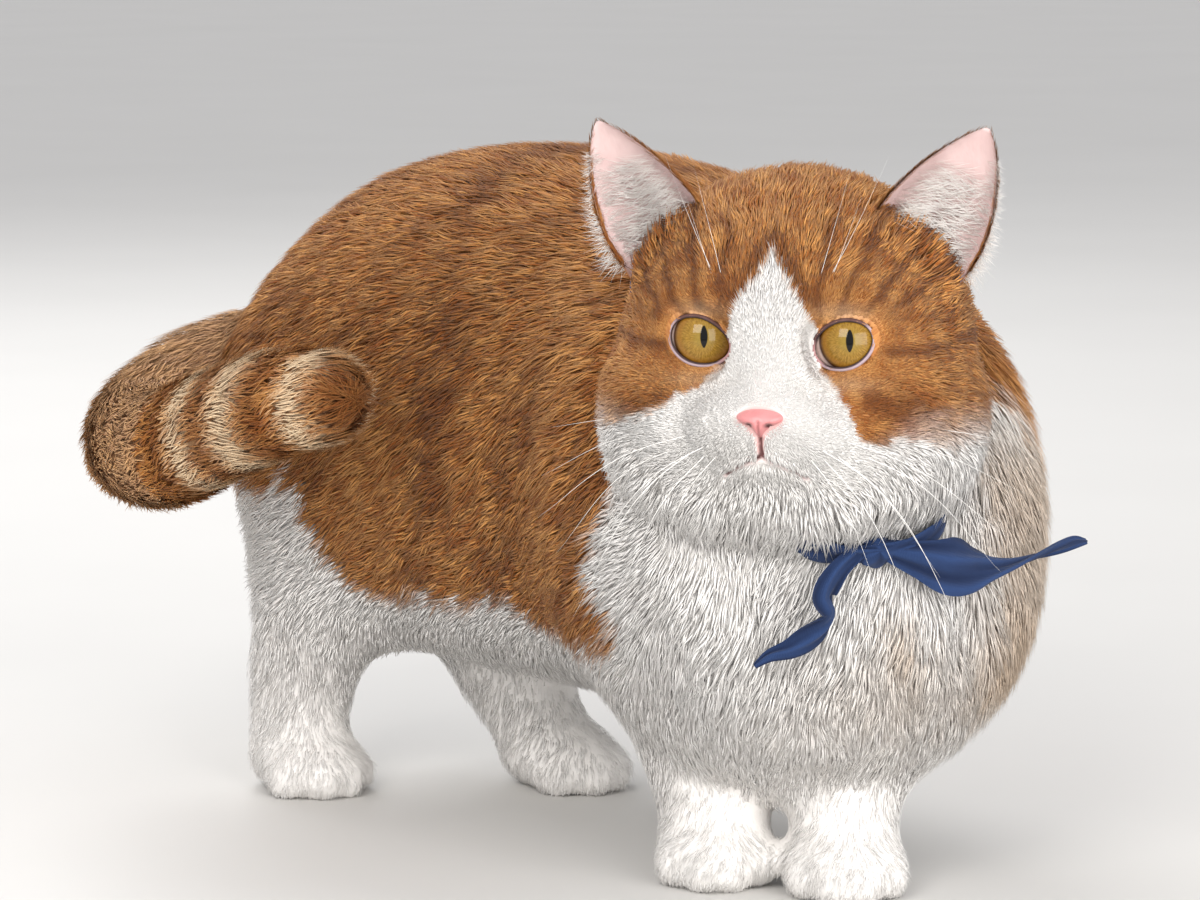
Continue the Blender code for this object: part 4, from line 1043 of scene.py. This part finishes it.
ear_finish = Finish("ear skin and short fur", Roughness=0.70)
ear_place = ear_finish.place()
ear_strokes = ear_finish.noise(ear_place, 650.0, 2.0, (1.0, 1.0, 0.4))
ear_coat = fur_colour(ear_finish, ear_finish.attribute("marks", 1), 0.2, ear_place, ear_strokes)
hollow = ear_finish.attribute("hollow")
ear_skin = ear_finish.mix(ear_finish.noise(ear_place, 120.0, 2.0), (0.58, 0.39, 0.38), (0.76, 0.60, 0.58))
ear_finish.feed("Base Color", ear_finish.mix(hollow, ear_coat, ear_skin))
ear_finish.bump(ear_strokes, 0.0005, 0.5)


def ear_marks(share):
    """The back of an ear: ginger, darker towards the tip."""
    dark = 0.25 + 0.45 * smooth_step(share, 0.25, 0.95)
    return np.stack([np.ones_like(share), dark, np.zeros_like(share)], -1)


for side, name in SIDES:
    table, share, turn = ear_table(side)
    points, triangles = closed_form(table)
    marks = np.vstack([ear_marks(share).reshape(-1, 3), [[1, 0.3, 0], [1, 0.7, 0]]])
    inside = np.concatenate([smooth_step(np.sin(turn), 0.02, 0.16).ravel(), [0, 0]])
    pinna = link_mesh(f"pinna_{name}", points, triangles, ear_finish, marks=marks, hollow=inside)
    dress(pinna, "coat_ginger", f"ear_{name}")
print("nose and ears made")

# %% [markdown]
# The neckerchief is a square of thin blue cotton, rolled into a band, tied under the jowl with one knot
# and left with two short ends. The band is a roll carried round the neck: its distance from the middle
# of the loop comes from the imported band, less the depth of the fur that hides it at the sides and back.
# %% Neckerchief: band, knot and two ends
BAND_FRONT = np.array([-3.0, -30.0, 111.5]) * MM + SHIFT
BAND_BACK = np.array([52.0, 52.0, 192.0]) * MM + SHIFT
KNOT_AT = np.array([4.2, -35.6, 110.2]) * MM + SHIFT
KNOT_HALF = (6.6, 5.0, 4.4)
KNOT_FACING = (-0.5, -0.86, 0.0)
ROLL_THICK, ROLL_HIGH = 1.5, 4.6
PROUD_IN, SUNK_IN = 2.0, 15.0
BINS = 48
loop_middle = (BAND_FRONT + BAND_BACK) / 2
loop_up = unit(BAND_BACK - BAND_FRONT)
loop_side = unit(np.cross(loop_up, UP))
loop_axis = np.cross(loop_side, loop_up)


def loop_radius(turn):
    """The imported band's outer distance from the middle of the loop, evened out along the turn, in mm."""
    points, _ = node_surface("kerchief_band")
    gap = (points - loop_middle) / MM
    high, side = gap @ loop_up, gap @ loop_side
    slot = ((np.arctan2(high, side) + math.pi) / (2 * math.pi) * BINS).astype(int) % BINS
    most = np.zeros(BINS)
    np.maximum.at(most, slot, np.hypot(high, side))
    middle_angle = (np.arange(BINS) + 0.5) / BINS * 2 * math.pi - math.pi
    for _ in range(2):
        most = (np.roll(most, 1) + 2 * most + np.roll(most, -1)) / 4
    return np.interp(turn, middle_angle, most, period=2 * math.pi)


def band_table(rows=260, columns=26):
    """A flattened roll round the loop, with creases that wind round it; it lies proud near the knot."""
    turn = np.linspace(-math.pi, math.pi, rows, endpoint=False)[:, None]
    around = once_round(columns)
    gap = (KNOT_AT - loop_middle) / MM
    knot_angle = math.atan2(gap @ loop_up, gap @ loop_side)
    away = np.abs((turn - knot_angle + math.pi) % (2 * math.pi) - math.pi)
    inwards = PROUD_IN + SUNK_IN * smooth_step(away, 0.24, 0.70)
    crease = 1 + 0.16 * np.sin(4 * around + 9 * turn) + 0.08 * np.sin(7 * around - 23 * turn)
    thin = 1 - 0.25 * smooth_step(away, 0.25, 0.05)
    radius = loop_radius(turn) - inwards + ROLL_THICK * thin * crease * np.cos(around)
    height = ROLL_HIGH * thin * (1 + 0.05 * np.sin(13 * turn)) * np.sin(around) * crease
    round_way = np.cos(turn)[..., None] * loop_side + np.sin(turn)[..., None] * loop_up
    table = loop_middle + spread((radius, height), (round_way, loop_axis))
    # the second table is painted shade: darker where the creases sink in
    return table, np.clip(0.5 - 2.2 * (crease - 1), 0, 1)


def knot_table(rows=40, columns=64):
    """An egg wrapped by folds of cloth: its radius swells and sinks along slanting lines."""
    facing = unit(np.array(KNOT_FACING))
    aside = np.cross(UP, facing)
    fall, turn = pole_to_pole(rows), once_round(columns)
    fold = 1 + 0.11 * np.sin(3 * turn + 2.6 * np.cos(fall) + 0.6) + 0.05 * np.sin(7 * turn - 5 * np.cos(fall))
    wide, tall, deep = egg(fall, turn, KNOT_HALF)
    table = KNOT_AT + spread((wide * fold, tall * fold, deep), (aside, UP, facing))
    # the second table is painted shade: darker where the folds sink in
    return table, np.clip(0.5 - 3.0 * (fold - 1), 0, 1)


# each row of an end: its place in the body's millimetres, half its width and its twist in degrees
END_LOW = (
    ((-2.5, -35.0, 110.4), 2.6, 0), ((-8.6, -32.8, 104.5), 3.4, 10), ((-12.0, -31.2, 97.6), 4.4, 40),
    ((-10.2, -31.4, 92.0), 5.3, 75), ((-13.0, -29.0, 86.8), 4.5, 35), ((-18.8, -24.8, 82.0), 3.1, -10),
    ((-23.6, -20.2, 79.6), 2.2, -40), ((-26.8, -17.4, 76.4), 1.0, -60),
)
END_SIDE = (
    ((5.5, -39.5, 109.8), 3.0, 0), ((12.5, -45.0, 107.6), 6.0, -5), ((20.0, -48.0, 105.2), 8.2, 0),
    ((27.0, -49.0, 104.4), 7.8, 8), ((34.0, -48.8, 103.9), 5.8, 22), ((41.0, -48.6, 103.4), 3.9, 45),
    ((49.0, -48.0, 103.6), 2.8, 75), ((58.0, -47.0, 104.6), 2.6, 110), ((67.0, -45.8, 105.6), 2.5, 150),
    ((75.0, -44.8, 106.4), 2.0, 190), ((80.0, -44.2, 106.0), 0.9, 210),
)


def cloth_end(rows, outward_way, folds, seed, count=90, columns=44):
    """A pleated strip: across it a wave of some folds, which wanders along it, doubled by its thickness."""
    table = curve_through([(*place, wide, twist) for place, wide, twist in rows], count)
    path = table[:, :3] * MM + SHIFT
    ahead = unit(np.gradient(path, axis=0))
    out = unit(np.array(outward_way, float))
    out = unit(out - ahead * (ahead @ out)[:, None])
    side = np.cross(ahead, out)
    twist = np.radians(table[:, 4])[:, None]
    across_way = side * np.cos(twist) + out * np.sin(twist)
    normal = out * np.cos(twist) - side * np.sin(twist)
    along = np.linspace(0, 1, count)[:, None]
    around = once_round(columns)
    over = np.cos(around)
    wide = np.maximum(table[:, 3:4], 0.35)
    wave = np.sin(folds * over * math.pi + seed + 3.0 * along)
    wave = wave + 0.4 * np.sin(2.3 * folds * over * math.pi - 5 * along)
    depth = 0.17 * np.minimum(wide, 6.5) * wave * (1 - 0.3 * over**2) + 0.50 * np.sin(around)
    edge = 1 + 0.06 * np.sin(17 * along + 3 * over)
    table = path[:, None] + spread((wide * over * edge, depth), (across_way[:, None], normal[:, None]))
    # the second table is painted shade: darker in the valleys of the pleats
    return table, np.clip(0.5 - 0.42 * wave, 0, 1)


cloth_finish = Finish("blue cotton", Roughness=0.90, Specular_IOR_Level=0.2, Sheen_Weight=0.08,
                      Sheen_Roughness=0.5)
cloth_place = cloth_finish.place()
thread = {"Vector": cloth_place, "Scale": 900.0, "Distortion": 1.2, "Detail": 1.0}
threads = [cloth_finish.node("ShaderNodeTexWave", {"bands_direction": axis}, thread) for axis in ("X", "Z")]
weave = threads[0] * 0.5 + threads[1] * 0.5
wash = cloth_finish.noise(cloth_place, 85.0, 4.0)
cloth_finish.feed("Base Color", cloth_finish.layers(
    cloth_finish.mix(wash, (0.008, 0.019, 0.066), (0.021, 0.050, 0.155)),
    (weave * 0.50, (0.050, 0.098, 0.235)),
    # painted shade in the valleys of the folds
    (cloth_finish.attribute("fold") * 0.80, (0.005, 0.010, 0.034)),
))
cloth_finish.bump(weave * 0.7 + wash * 0.8, 0.00025, 0.6)


cloth = {}
for name, table, round_rows in (
        ("neck_band", band_table(), True), ("knot", knot_table(), False),
        ("end_low", cloth_end(END_LOW, (-0.62, -0.78, 0.0), 1.3, 0.4), False),
        ("end_side", cloth_end(END_SIDE, (-0.30, -0.95, 0.1), 1.7, 2.0), False)):
    points, triangles = closed_form(table[0], round_rows)
    # the fold shares are painted shade; the poles take a middle value
    fold = np.full(len(points), 0.5)
    fold[:table[1].size] = table[1].ravel()
    cloth[name] = link_mesh(name, points, triangles, cloth_finish, fold=fold)
    dress(cloth[name], "kerchief", "kerchief_" + name.removeprefix("neck_"))
    one_side = np.linalg.norm(face_normals(points, triangles), axis=1).sum() / 4
    print(name, len(triangles), "triangles, one side", round(one_side / MM**2), "mm2")

# %% [markdown]
# Fur grows in tufts: hairs that lean together and lie along the body. Each tuft here is a closed spindle
# of six triangles. Its foot is under the skin, its broad middle has a ridge on top, and its tip lies
# down again, so a row of them sheds light like combed fur. A million such triangles cover the animal.
# %% A tuft and how it lies
LIDS_AT = (EYE_AT[0], EYE_AT[1] + 8, EYE_AT[2])
SOLE_CLEAR = 0.0009
TAIL_FUR = 13.0


def fur_lie(points, normals):
    """The way the fur lies: away from the nose on the head, back and down on the body, along the tail."""
    left, ahead, up = in_head(points)
    _, y, z = in_body(points)
    away = np.stack([left * 1.15, ahead - NOSE_AT[1], up - NOSE_AT[2]], 1)
    length = np.linalg.norm(away, axis=1, keepdims=True)
    away[:, 1] -= 0.25 * length[:, 0]
    away[:, 2] -= 0.35 * length[:, 0] * smooth_step(np.abs(left), 24, 48) * smooth_step(up, 30, -5)
    away[:, 2] -= 0.80 * length[:, 0] * jowl_share(points)
    head_way = unit(away) @ np.stack([LEFT, AHEAD, UP])
    sinking = -0.15 - 0.45 * smooth_step(z, 200, 130)
    flank, chest, rump, leg = (
        np.stack(np.broadcast_arrays(outwards * normals[:, 0], back, down), 1) for outwards, back, down in
        ((0.25, 0.9, sinking), (0.45, 0.05, -1), (0.2, 0.35, -1), (0, 0.18, -1)))
    way = blend(flank, chest, smooth_step(y + 0.25 * (z - 100), 38, 0)[:, None])
    way = blend(way, rump, smooth_step(y, 236, 264)[:, None])
    way = blend(way, leg, smooth_step(z, 78, 52)[:, None])
    way = blend(unit(way), head_way, head_share(points)[:, None])
    way = blend(way, along_tail(points)[2], tail_share(points)[:, None])
    held = 1 - 0.85 * jowl_share(points)[:, None]
    return unit(way - held * normals * np.einsum("ij,ij->i", way, normals)[:, None])


def jowl_share(points):
    """1 along the lower edge of the cheeks and chin, where longer fur hangs over the neckerchief."""
    _, ahead, up = in_head(points)
    return head_share(points) * smooth_step(up, -27, -38) * smooth_step(ahead, -12, 6)


def ear_foot_share(points):
    """1 in front of the foot of each ear, where longer fur covers the bottom of its hollow."""
    return smooth_step(far_from(points, (39, 13, 31), (15, 9, 11), mirrored=True), 1.25, 0.6)


def tuft_length(points):
    """Length of the tufts in mm: 2 by the nose and eyes, 10 on the cheeks, 13 on the body and tail."""
    _, y, z = in_body(points)
    left = in_head(points)[0]
    from_lids = far_from(points, LIDS_AT, mirrored=True)
    face = np.interp(far_from(points, NOSE_AT), [6, 14, 26, 44, 70], [1.5, 2.3, 3.8, 6.6, 10.0])
    face = face + (6.5 + 3.0 * smooth_step(left, -6, 10)) * jowl_share(points)
    face = np.minimum(face, np.interp(from_lids, [9, 12, 18, 30], [1.6, 2.4, 4.6, 15.0]))
    face = face + 5.0 * ear_foot_share(points)
    body = np.interp(z, [0, 10, 26, 50, 85], [3.4, 4.8, 7.0, 10.0, 13.0])
    body = body + 2.5 * smooth_step(y, 20, -10) * smooth_step(z, 60, 85)
    return blend(blend(body, face, head_share(points)), TAIL_FUR, tail_share(points))


def open_share(points):
    """1 where fur grows, 0 in the eye openings, on the nose, in the line of the mouth and on the soles."""
    left, ahead, up = in_head(points)
    above = up - NOSE_LEATHER_AT[1]
    grows = (points[:, 2] > SOLE_CLEAR).astype(float)
    for side, _ in SIDES:
        out, high, front = in_eye(points, side)
        grows *= ~((almond(out, high) < 1.13) & (front > 0) & (np.hypot(out, high) < 14))
    nose_half = 6.2 * nose_share(above) * np.sqrt(np.clip(1 - (above / 4.6) ** 2, 0, 1)) + 0.2
    grows *= ~((np.abs(left) < nose_half) & (np.abs(above) < 4.4) & (ahead > 40))
    grows *= mouth_gap(points) > 0.40 + 0.55 * stripe(left, 4.5)
    return grows


fur_finish = Finish("tufts of fur", Roughness=0.78, Specular_IOR_Level=0.12, Sheen_Weight=0.06,
                    Sheen_Roughness=0.5)
fur_tip, fur_tone, fur_shade = fur_finish.split(fur_finish.attribute("strand", 1))
fur_base = fur_colour(fur_finish, fur_finish.attribute("marks", 1), fur_tip, fur_finish.place(), fur_tone)
fur_under = fur_shade * (1 - fur_tip) * 0.45
fur_finish.feed("Base Color", fur_finish.mix(fur_under, fur_base, (0.28, 0.105, 0.028)))

# corners: 0 foot, 1 left, 2 ridge, 3 right, 4 tip; the patch is their place round the root on the map
TUFT_FACES = np.array([(1, 2, 4), (2, 3, 4), (3, 1, 4), (2, 1, 0), (3, 2, 0), (1, 3, 0)])
TUFT_SHARE = np.array([0.0, 0.45, 0.45, 0.45, 1.0])
TUFT_PATCH = np.array([(0, -1), (-1, 0), (0, 0.2), (1, 0), (0, 1)]) * 0.0015


def coat_piece(name, roots, normals, way, length, width, depth, marks, patch, foot=0.7, slot="coat_ginger"):
    """One mesh of tufts: foot, left, ridge, right and tip of each, with an unwrap patch at its root."""
    count = len(roots)
    across_way = np.cross(normals, way)
    lock = clouds(roots, 8, 11)
    length = (length * rng.uniform(0.75, 1.2, count))[:, None] * MM
    width = (width * rng.uniform(0.7, 1.3, count))[:, None] * MM
    depth = (depth * (1 + 0.12 * lock) * rng.uniform(0.42, 1.06, count))[:, None] * MM
    sway = 0.12 * clouds(roots, 15, 12) + 0.08 * clouds(roots, 6, 13)
    sway = (sway + 0.07 * rng.normal(size=count))[:, None]
    bent = unit(way + across_way * sway)
    middle_at = roots + bent * length * 0.46 + normals * depth * 0.70
    tip = roots + unit(bent + 0.5 * across_way * sway) * length + normals * depth * 0.96
    foot_at = roots - normals * foot * MM
    points = np.stack([foot_at, middle_at + across_way * width / 2, middle_at + normals * width * 0.08,
                       middle_at - across_way * width / 2, tip], 1)
    triangles = (np.arange(count)[:, None, None] * 5 + TUFT_FACES[None]).reshape(-1, 3)
    tone = np.clip(0.5 + 0.20 * rng.normal(size=count) + 0.17 * lock, 0, 1)
    shade = np.clip(marks[:, 0] * 0.8 * (1 - 0.7 * marks[:, 2]), 0, 1)
    strand = np.stack(np.broadcast_arrays(TUFT_SHARE, tone[:, None], shade[:, None]), 2)
    thing = link_mesh(name, points.reshape(-1, 3), triangles, fur_finish,
                      strand=strand.reshape(-1, 3), marks=np.repeat(marks, 5, axis=0))
    layer = thing.data.uv_layers.new(name="OFBake")
    corners = (0.004 + 0.992 * np.clip(patch, 0, 1))[:, None] + TUFT_PATCH[TUFT_FACES.ravel()][None]
    layer.data.foreach_set("uv", np.ascontiguousarray(corners, np.float32).ravel())
    dress(thing, slot)
    return len(triangles)


print("each tuft has", len(TUFT_PATCH), "points and", len(TUFT_FACES), "faces")

# %% [markdown]
# The tufts are spread over the skin's triangles by area, more of them where they are short, so the coat
# lies about two and a half tufts deep. Each takes its markings from where its visible half lies, not
# from its root, which keeps the edge of the blaze where the skin has it.
# %% The coat
FULL_COAT, QUICK_COAT = 218000, 60000
TUFTS = FULL_COAT
TUFT_LENGTHS, TUFT_WIDTHS, WIDTHS_WANTED = [1.5, 4, 8, 14], [0.20, 0.28, 0.42, 0.60], [0.19, 0.25, 0.36, 0.50]
FACE_FROM, LEGS_TO, CHEST_TO, SHOULDERS_TO, SPINE_AT = 14, 52, 22, 104, 35
HEAD_MORE, LEG_HEIGHTS, LEG_SHARES = 1.25, [4, 30, 60, 75], [0.16, 0.30, 0.60, 1.0]
rng = np.random.default_rng(7)
corners = skin_points[skin_triangles]
area = np.linalg.norm(face_normals(skin_points, skin_triangles), axis=1) / 2 / MM**2
centre = corners.mean(axis=1)
long_here = tuft_length(centre)
wanted = area / (0.5 * np.interp(long_here, TUFT_LENGTHS, WIDTHS_WANTED) * long_here) * open_share(centre)
by_height = np.interp(in_body(centre)[2], LEG_HEIGHTS, LEG_SHARES)
wanted *= np.where(head_share(centre) > 0.5, HEAD_MORE, by_height)
chosen = rng.choice(len(area), TUFTS, p=wanted / wanted.sum())
print("skin", round(area.sum() / 100), "cm2, covered", round(TUFTS / wanted.sum(), 1), "times")
mix_a, mix_b = rng.random((2, TUFTS))
mix_a, mix_b = 1 - np.sqrt(mix_a), mix_b * np.sqrt(mix_a)
shares = np.stack([mix_a, mix_b, 1 - mix_a - mix_b], 1)
skin_normals = normals_of(skin_points, skin_triangles)
roots = np.einsum("ij,ijk->ik", shares, corners[chosen])
root_normals = unit(np.einsum("ij,ijk->ik", shares, skin_normals[skin_triangles[chosen]]))
kept = open_share(roots) > 0
roots, root_normals = roots[kept], root_normals[kept]
root_way = fur_lie(roots, root_normals)
root_length = tuft_length(roots)
root_width = np.interp(root_length, TUFT_LENGTHS, TUFT_WIDTHS) * math.sqrt(FULL_COAT / TUFTS)
root_depth = coat_depth(roots) + 2.5 * jowl_share(roots) + 2.6 * ear_foot_share(roots)
seen_at = roots + root_way * (0.72 * root_length * MM)[:, None] + root_normals * root_depth[:, None] * MM
root_marks = markings(seen_at)


def unwrap_place(points):
    """A place on a flat map of the skin: angle round the head or body against height or distance back."""
    left, ahead, up = in_head(points)
    x, y, z = in_body(points)
    head = np.stack([np.arctan2(left, ahead) / (2 * math.pi) + 0.5, (up + 60) / 120], 1)
    body = np.stack([(y + 50) / 350, np.arctan2(x - SPINE_AT, z - 120) / (2 * math.pi) + 0.5], 1)
    return np.where(head_share(points)[:, None] > 0.5, head, body)


left, ahead, _ = in_head(roots)
x, y, z = in_body(roots)
on_head = head_share(roots) > 0.5
on_tail = tail_share(roots) > 0.5
trunk = ~on_head & ~on_tail
upper = trunk & (z >= LEGS_TO)
groups = {
    "coat_face_left": on_head & (ahead > FACE_FROM) & (left > 0),
    "coat_face_right": on_head & (ahead > FACE_FROM) & (left <= 0),
    "coat_crown": on_head & (ahead <= FACE_FROM),
    "coat_tail": on_tail,
    "coat_legs": trunk & (z < LEGS_TO),
    "coat_chest": upper & (y < CHEST_TO),
    "coat_shoulders": upper & (y >= CHEST_TO) & (y < SHOULDERS_TO),
    "coat_flank_right": upper & (y >= SHOULDERS_TO) & (x < SPINE_AT),
    "coat_flank_left": upper & (y >= SHOULDERS_TO) & (x >= SPINE_AT),
}
per_tuft = (roots, root_normals, root_way, root_length, root_width, root_depth * 1.05, root_marks,
            unwrap_place(roots))
for name, here in groups.items():
    print(name, coat_piece(name, *(values[here] for values in per_tuft)), "triangles")
print("coat:", len(roots) * len(TUFT_FACES), "triangles")

# %% [markdown]
# The backs of the ears carry very short fur that points to the tip. The hollow is nearly bare, but long
# white hairs root over its inner half and sweep outwards across it, and a shorter fringe stands past its
# outer edge. These stand off the ear, so they are made as single long tufts from a place on its grid.
# %% Fur of the ears
FULL_EAR, QUICK_EAR = 5200, 1500
EAR_FOOT = 0.3
BACK_WIDTH, HAIR_WIDTH = 0.085, 0.019  # as shares of the length
BACK_DEPTH, HAIR_DEPTH = 0.9, 1.8
INNER_HAIRS = 0.60


def ear_frame(side, share, turn):
    """A place on the ear, its outward normal and the direction to the tip, from small steps on the grid."""
    here = ear_point(side, share, turn)
    to_tip = unit(ear_point(side, np.minimum(share + 0.02, 0.999), turn) - here)
    round_it = unit(ear_point(side, share, turn + 0.05) - here)
    normal = unit(np.cross(to_tip, round_it))
    _, _, _, facing, _ = ear_axes(side)
    hollow_side = np.sin(turn) > 0
    wrong = (normal @ facing > 0) != hollow_side
    return here, np.where(wrong[:, None], -normal, normal), to_tip


def ear_hair(side, name, count):
    """Short fur over the back and edges, and long white hairs in the hollow."""
    share = 1 - np.sqrt(rng.random(count))
    share = share * 1.12 - 0.14
    turn = rng.uniform(math.pi * 0.97, 2.03 * math.pi, count)
    here, normal, to_tip = ear_frame(side, share, turn)
    marks = ear_marks(share)
    marks[:, 0] = np.where(share < -0.02, 1, marks[:, 0])
    size = np.interp(share, [-0.1, 0.3, 1], [5.5, 4.5, 3.2])
    patch = np.stack([(turn / math.pi) % 1, np.clip(share * 0.8 + 0.15, 0, 1)], 1)
    made = coat_piece(f"ear_back_{name}", here, normal, to_tip, size, BACK_WIDTH * size,
                      BACK_DEPTH + 0 * size, marks, patch, foot=EAR_FOOT)
    few = count // 4
    edge = rng.random(few)
    inner = edge < INNER_HAIRS
    share = np.where(inner, rng.uniform(-0.10, 0.62, few), rng.uniform(-0.10, 0.80, few))
    turn = np.where(inner, rng.uniform(1.3, 2.9, few), rng.uniform(0.03, 1.1, few))
    here, normal, to_tip = ear_frame(side, share, turn)
    _, _, wide, facing, _ = ear_axes(side)
    sweep = np.where(inner[:, None], 0.80 * wide + 0.45 * facing, 0.85 * wide + 0.30 * facing)
    way = unit(to_tip * rng.uniform(-0.45, 0.35, few)[:, None] + sweep * rng.uniform(0.7, 1.2, few)[:, None])
    way = unit(way - 0.55 * normal * np.einsum("ij,ij->i", way, normal)[:, None])
    size = np.where(inner, np.interp(share, [0, 0.6], [15, 8]), np.interp(share, [0, 0.8], [9.5, 4.0]))
    marks = np.broadcast_to([0.0, 0.0, 0.10], (few, 3)).copy()
    patch = np.stack([turn / math.pi, np.clip(share * 0.8 + 0.15, 0, 1)], 1)
    made += coat_piece(f"ear_hairs_{name}", here, normal, way, size, HAIR_WIDTH * size,
                       HAIR_DEPTH + 0 * size, marks, patch, foot=EAR_FOOT, slot="coat_white")
    return made


for side, name in SIDES:
    print("ear", name, ear_hair(side, name, FULL_EAR), "triangles")

# %% [markdown]
# Whiskers are single stiff hairs, thick at the root and drawn out to nothing. Each is a thin tube along a
# gentle curve that leaves the pad outwards and droops: eight on each side, and three above each eye.
# %% Whiskers and brow hairs
# root left, ahead, up; end left, ahead, up; sag; radius, all in millimetres
WHISKERS = (
    (15.5, 46.5, -15.0, 69.0, 40.0, -44.0, 5.0, 0.22),
    (16.5, 45.5, -18.0, 58.0, 42.0, -73.0, 8.0, 0.22),
    (18.0, 45.0, -14.5, 72.0, 24.0, -34.0, 4.0, 0.21),
    (15.0, 46.5, -20.0, 45.0, 46.0, -70.0, 6.0, 0.2),
    (19.0, 44.0, -18.5, 66.0, 30.0, -56.0, 7.0, 0.21),
    (13.0, 48.0, -17.5, 52.0, 50.0, -55.0, 6.0, 0.2),
    (20.0, 43.5, -13.5, 70.0, 20.0, -20.0, 2.0, 0.19),
    (12.5, 48.0, -21.0, 33.0, 48.0, -58.0, 4.0, 0.18),
)
BROWS = (
    (15.0, 39.0, 24.5, 33.0, 33.0, 63.0, -3.0, 0.095),
    (16.5, 38.0, 25.5, 26.0, 37.0, 52.0, -2.0, 0.085),
    (13.5, 39.5, 25.0, 23.0, 38.0, 60.0, -2.0, 0.085),
)
BOW_WAY = np.array([0.25, 0.1, 0.9])


def whisker(row, side, steps=26, around=5):
    """A tube along a bow: straight from root to end, lifted by sag at its middle, radius to nothing."""
    share = np.linspace(0, 1, steps)[:, None]
    root, end, (sag, radius) = np.array(row[:3]), np.array(row[3:6]), row[6:]
    path = root + share * (end - root) + sag * (np.sin(share * math.pi) ** 1.3) * BOW_WAY
    path = head_place(side * path[:, 0], path[:, 1], path[:, 2])
    ahead = unit(np.gradient(path, axis=0))
    aside = unit(np.cross(ahead, UP))
    above = np.cross(aside, ahead)
    turn = once_round(around)[..., None]
    size = 0.80 * radius * MM * (1 - 0.93 * share[:, :, None] ** 1.2)
    return closed_form(path[:, None] + size * (np.cos(turn) * aside[:, None] + np.sin(turn) * above[:, None]))


whisker_finish = Finish("whisker", Roughness=0.35)
whisker_tone = whisker_finish.noise(whisker_finish.place(), 60.0)
whisker_finish.feed("Base Color", whisker_finish.mix(whisker_tone, (0.86, 0.83, 0.78), (0.97, 0.96, 0.94)))
for side, name in SIDES:
    hairs = joined([whisker(row, side) for row in WHISKERS + BROWS])
    dress(link_mesh(f"whiskers_{name}", *hairs, whisker_finish), "coat_white")
print("whiskers made")
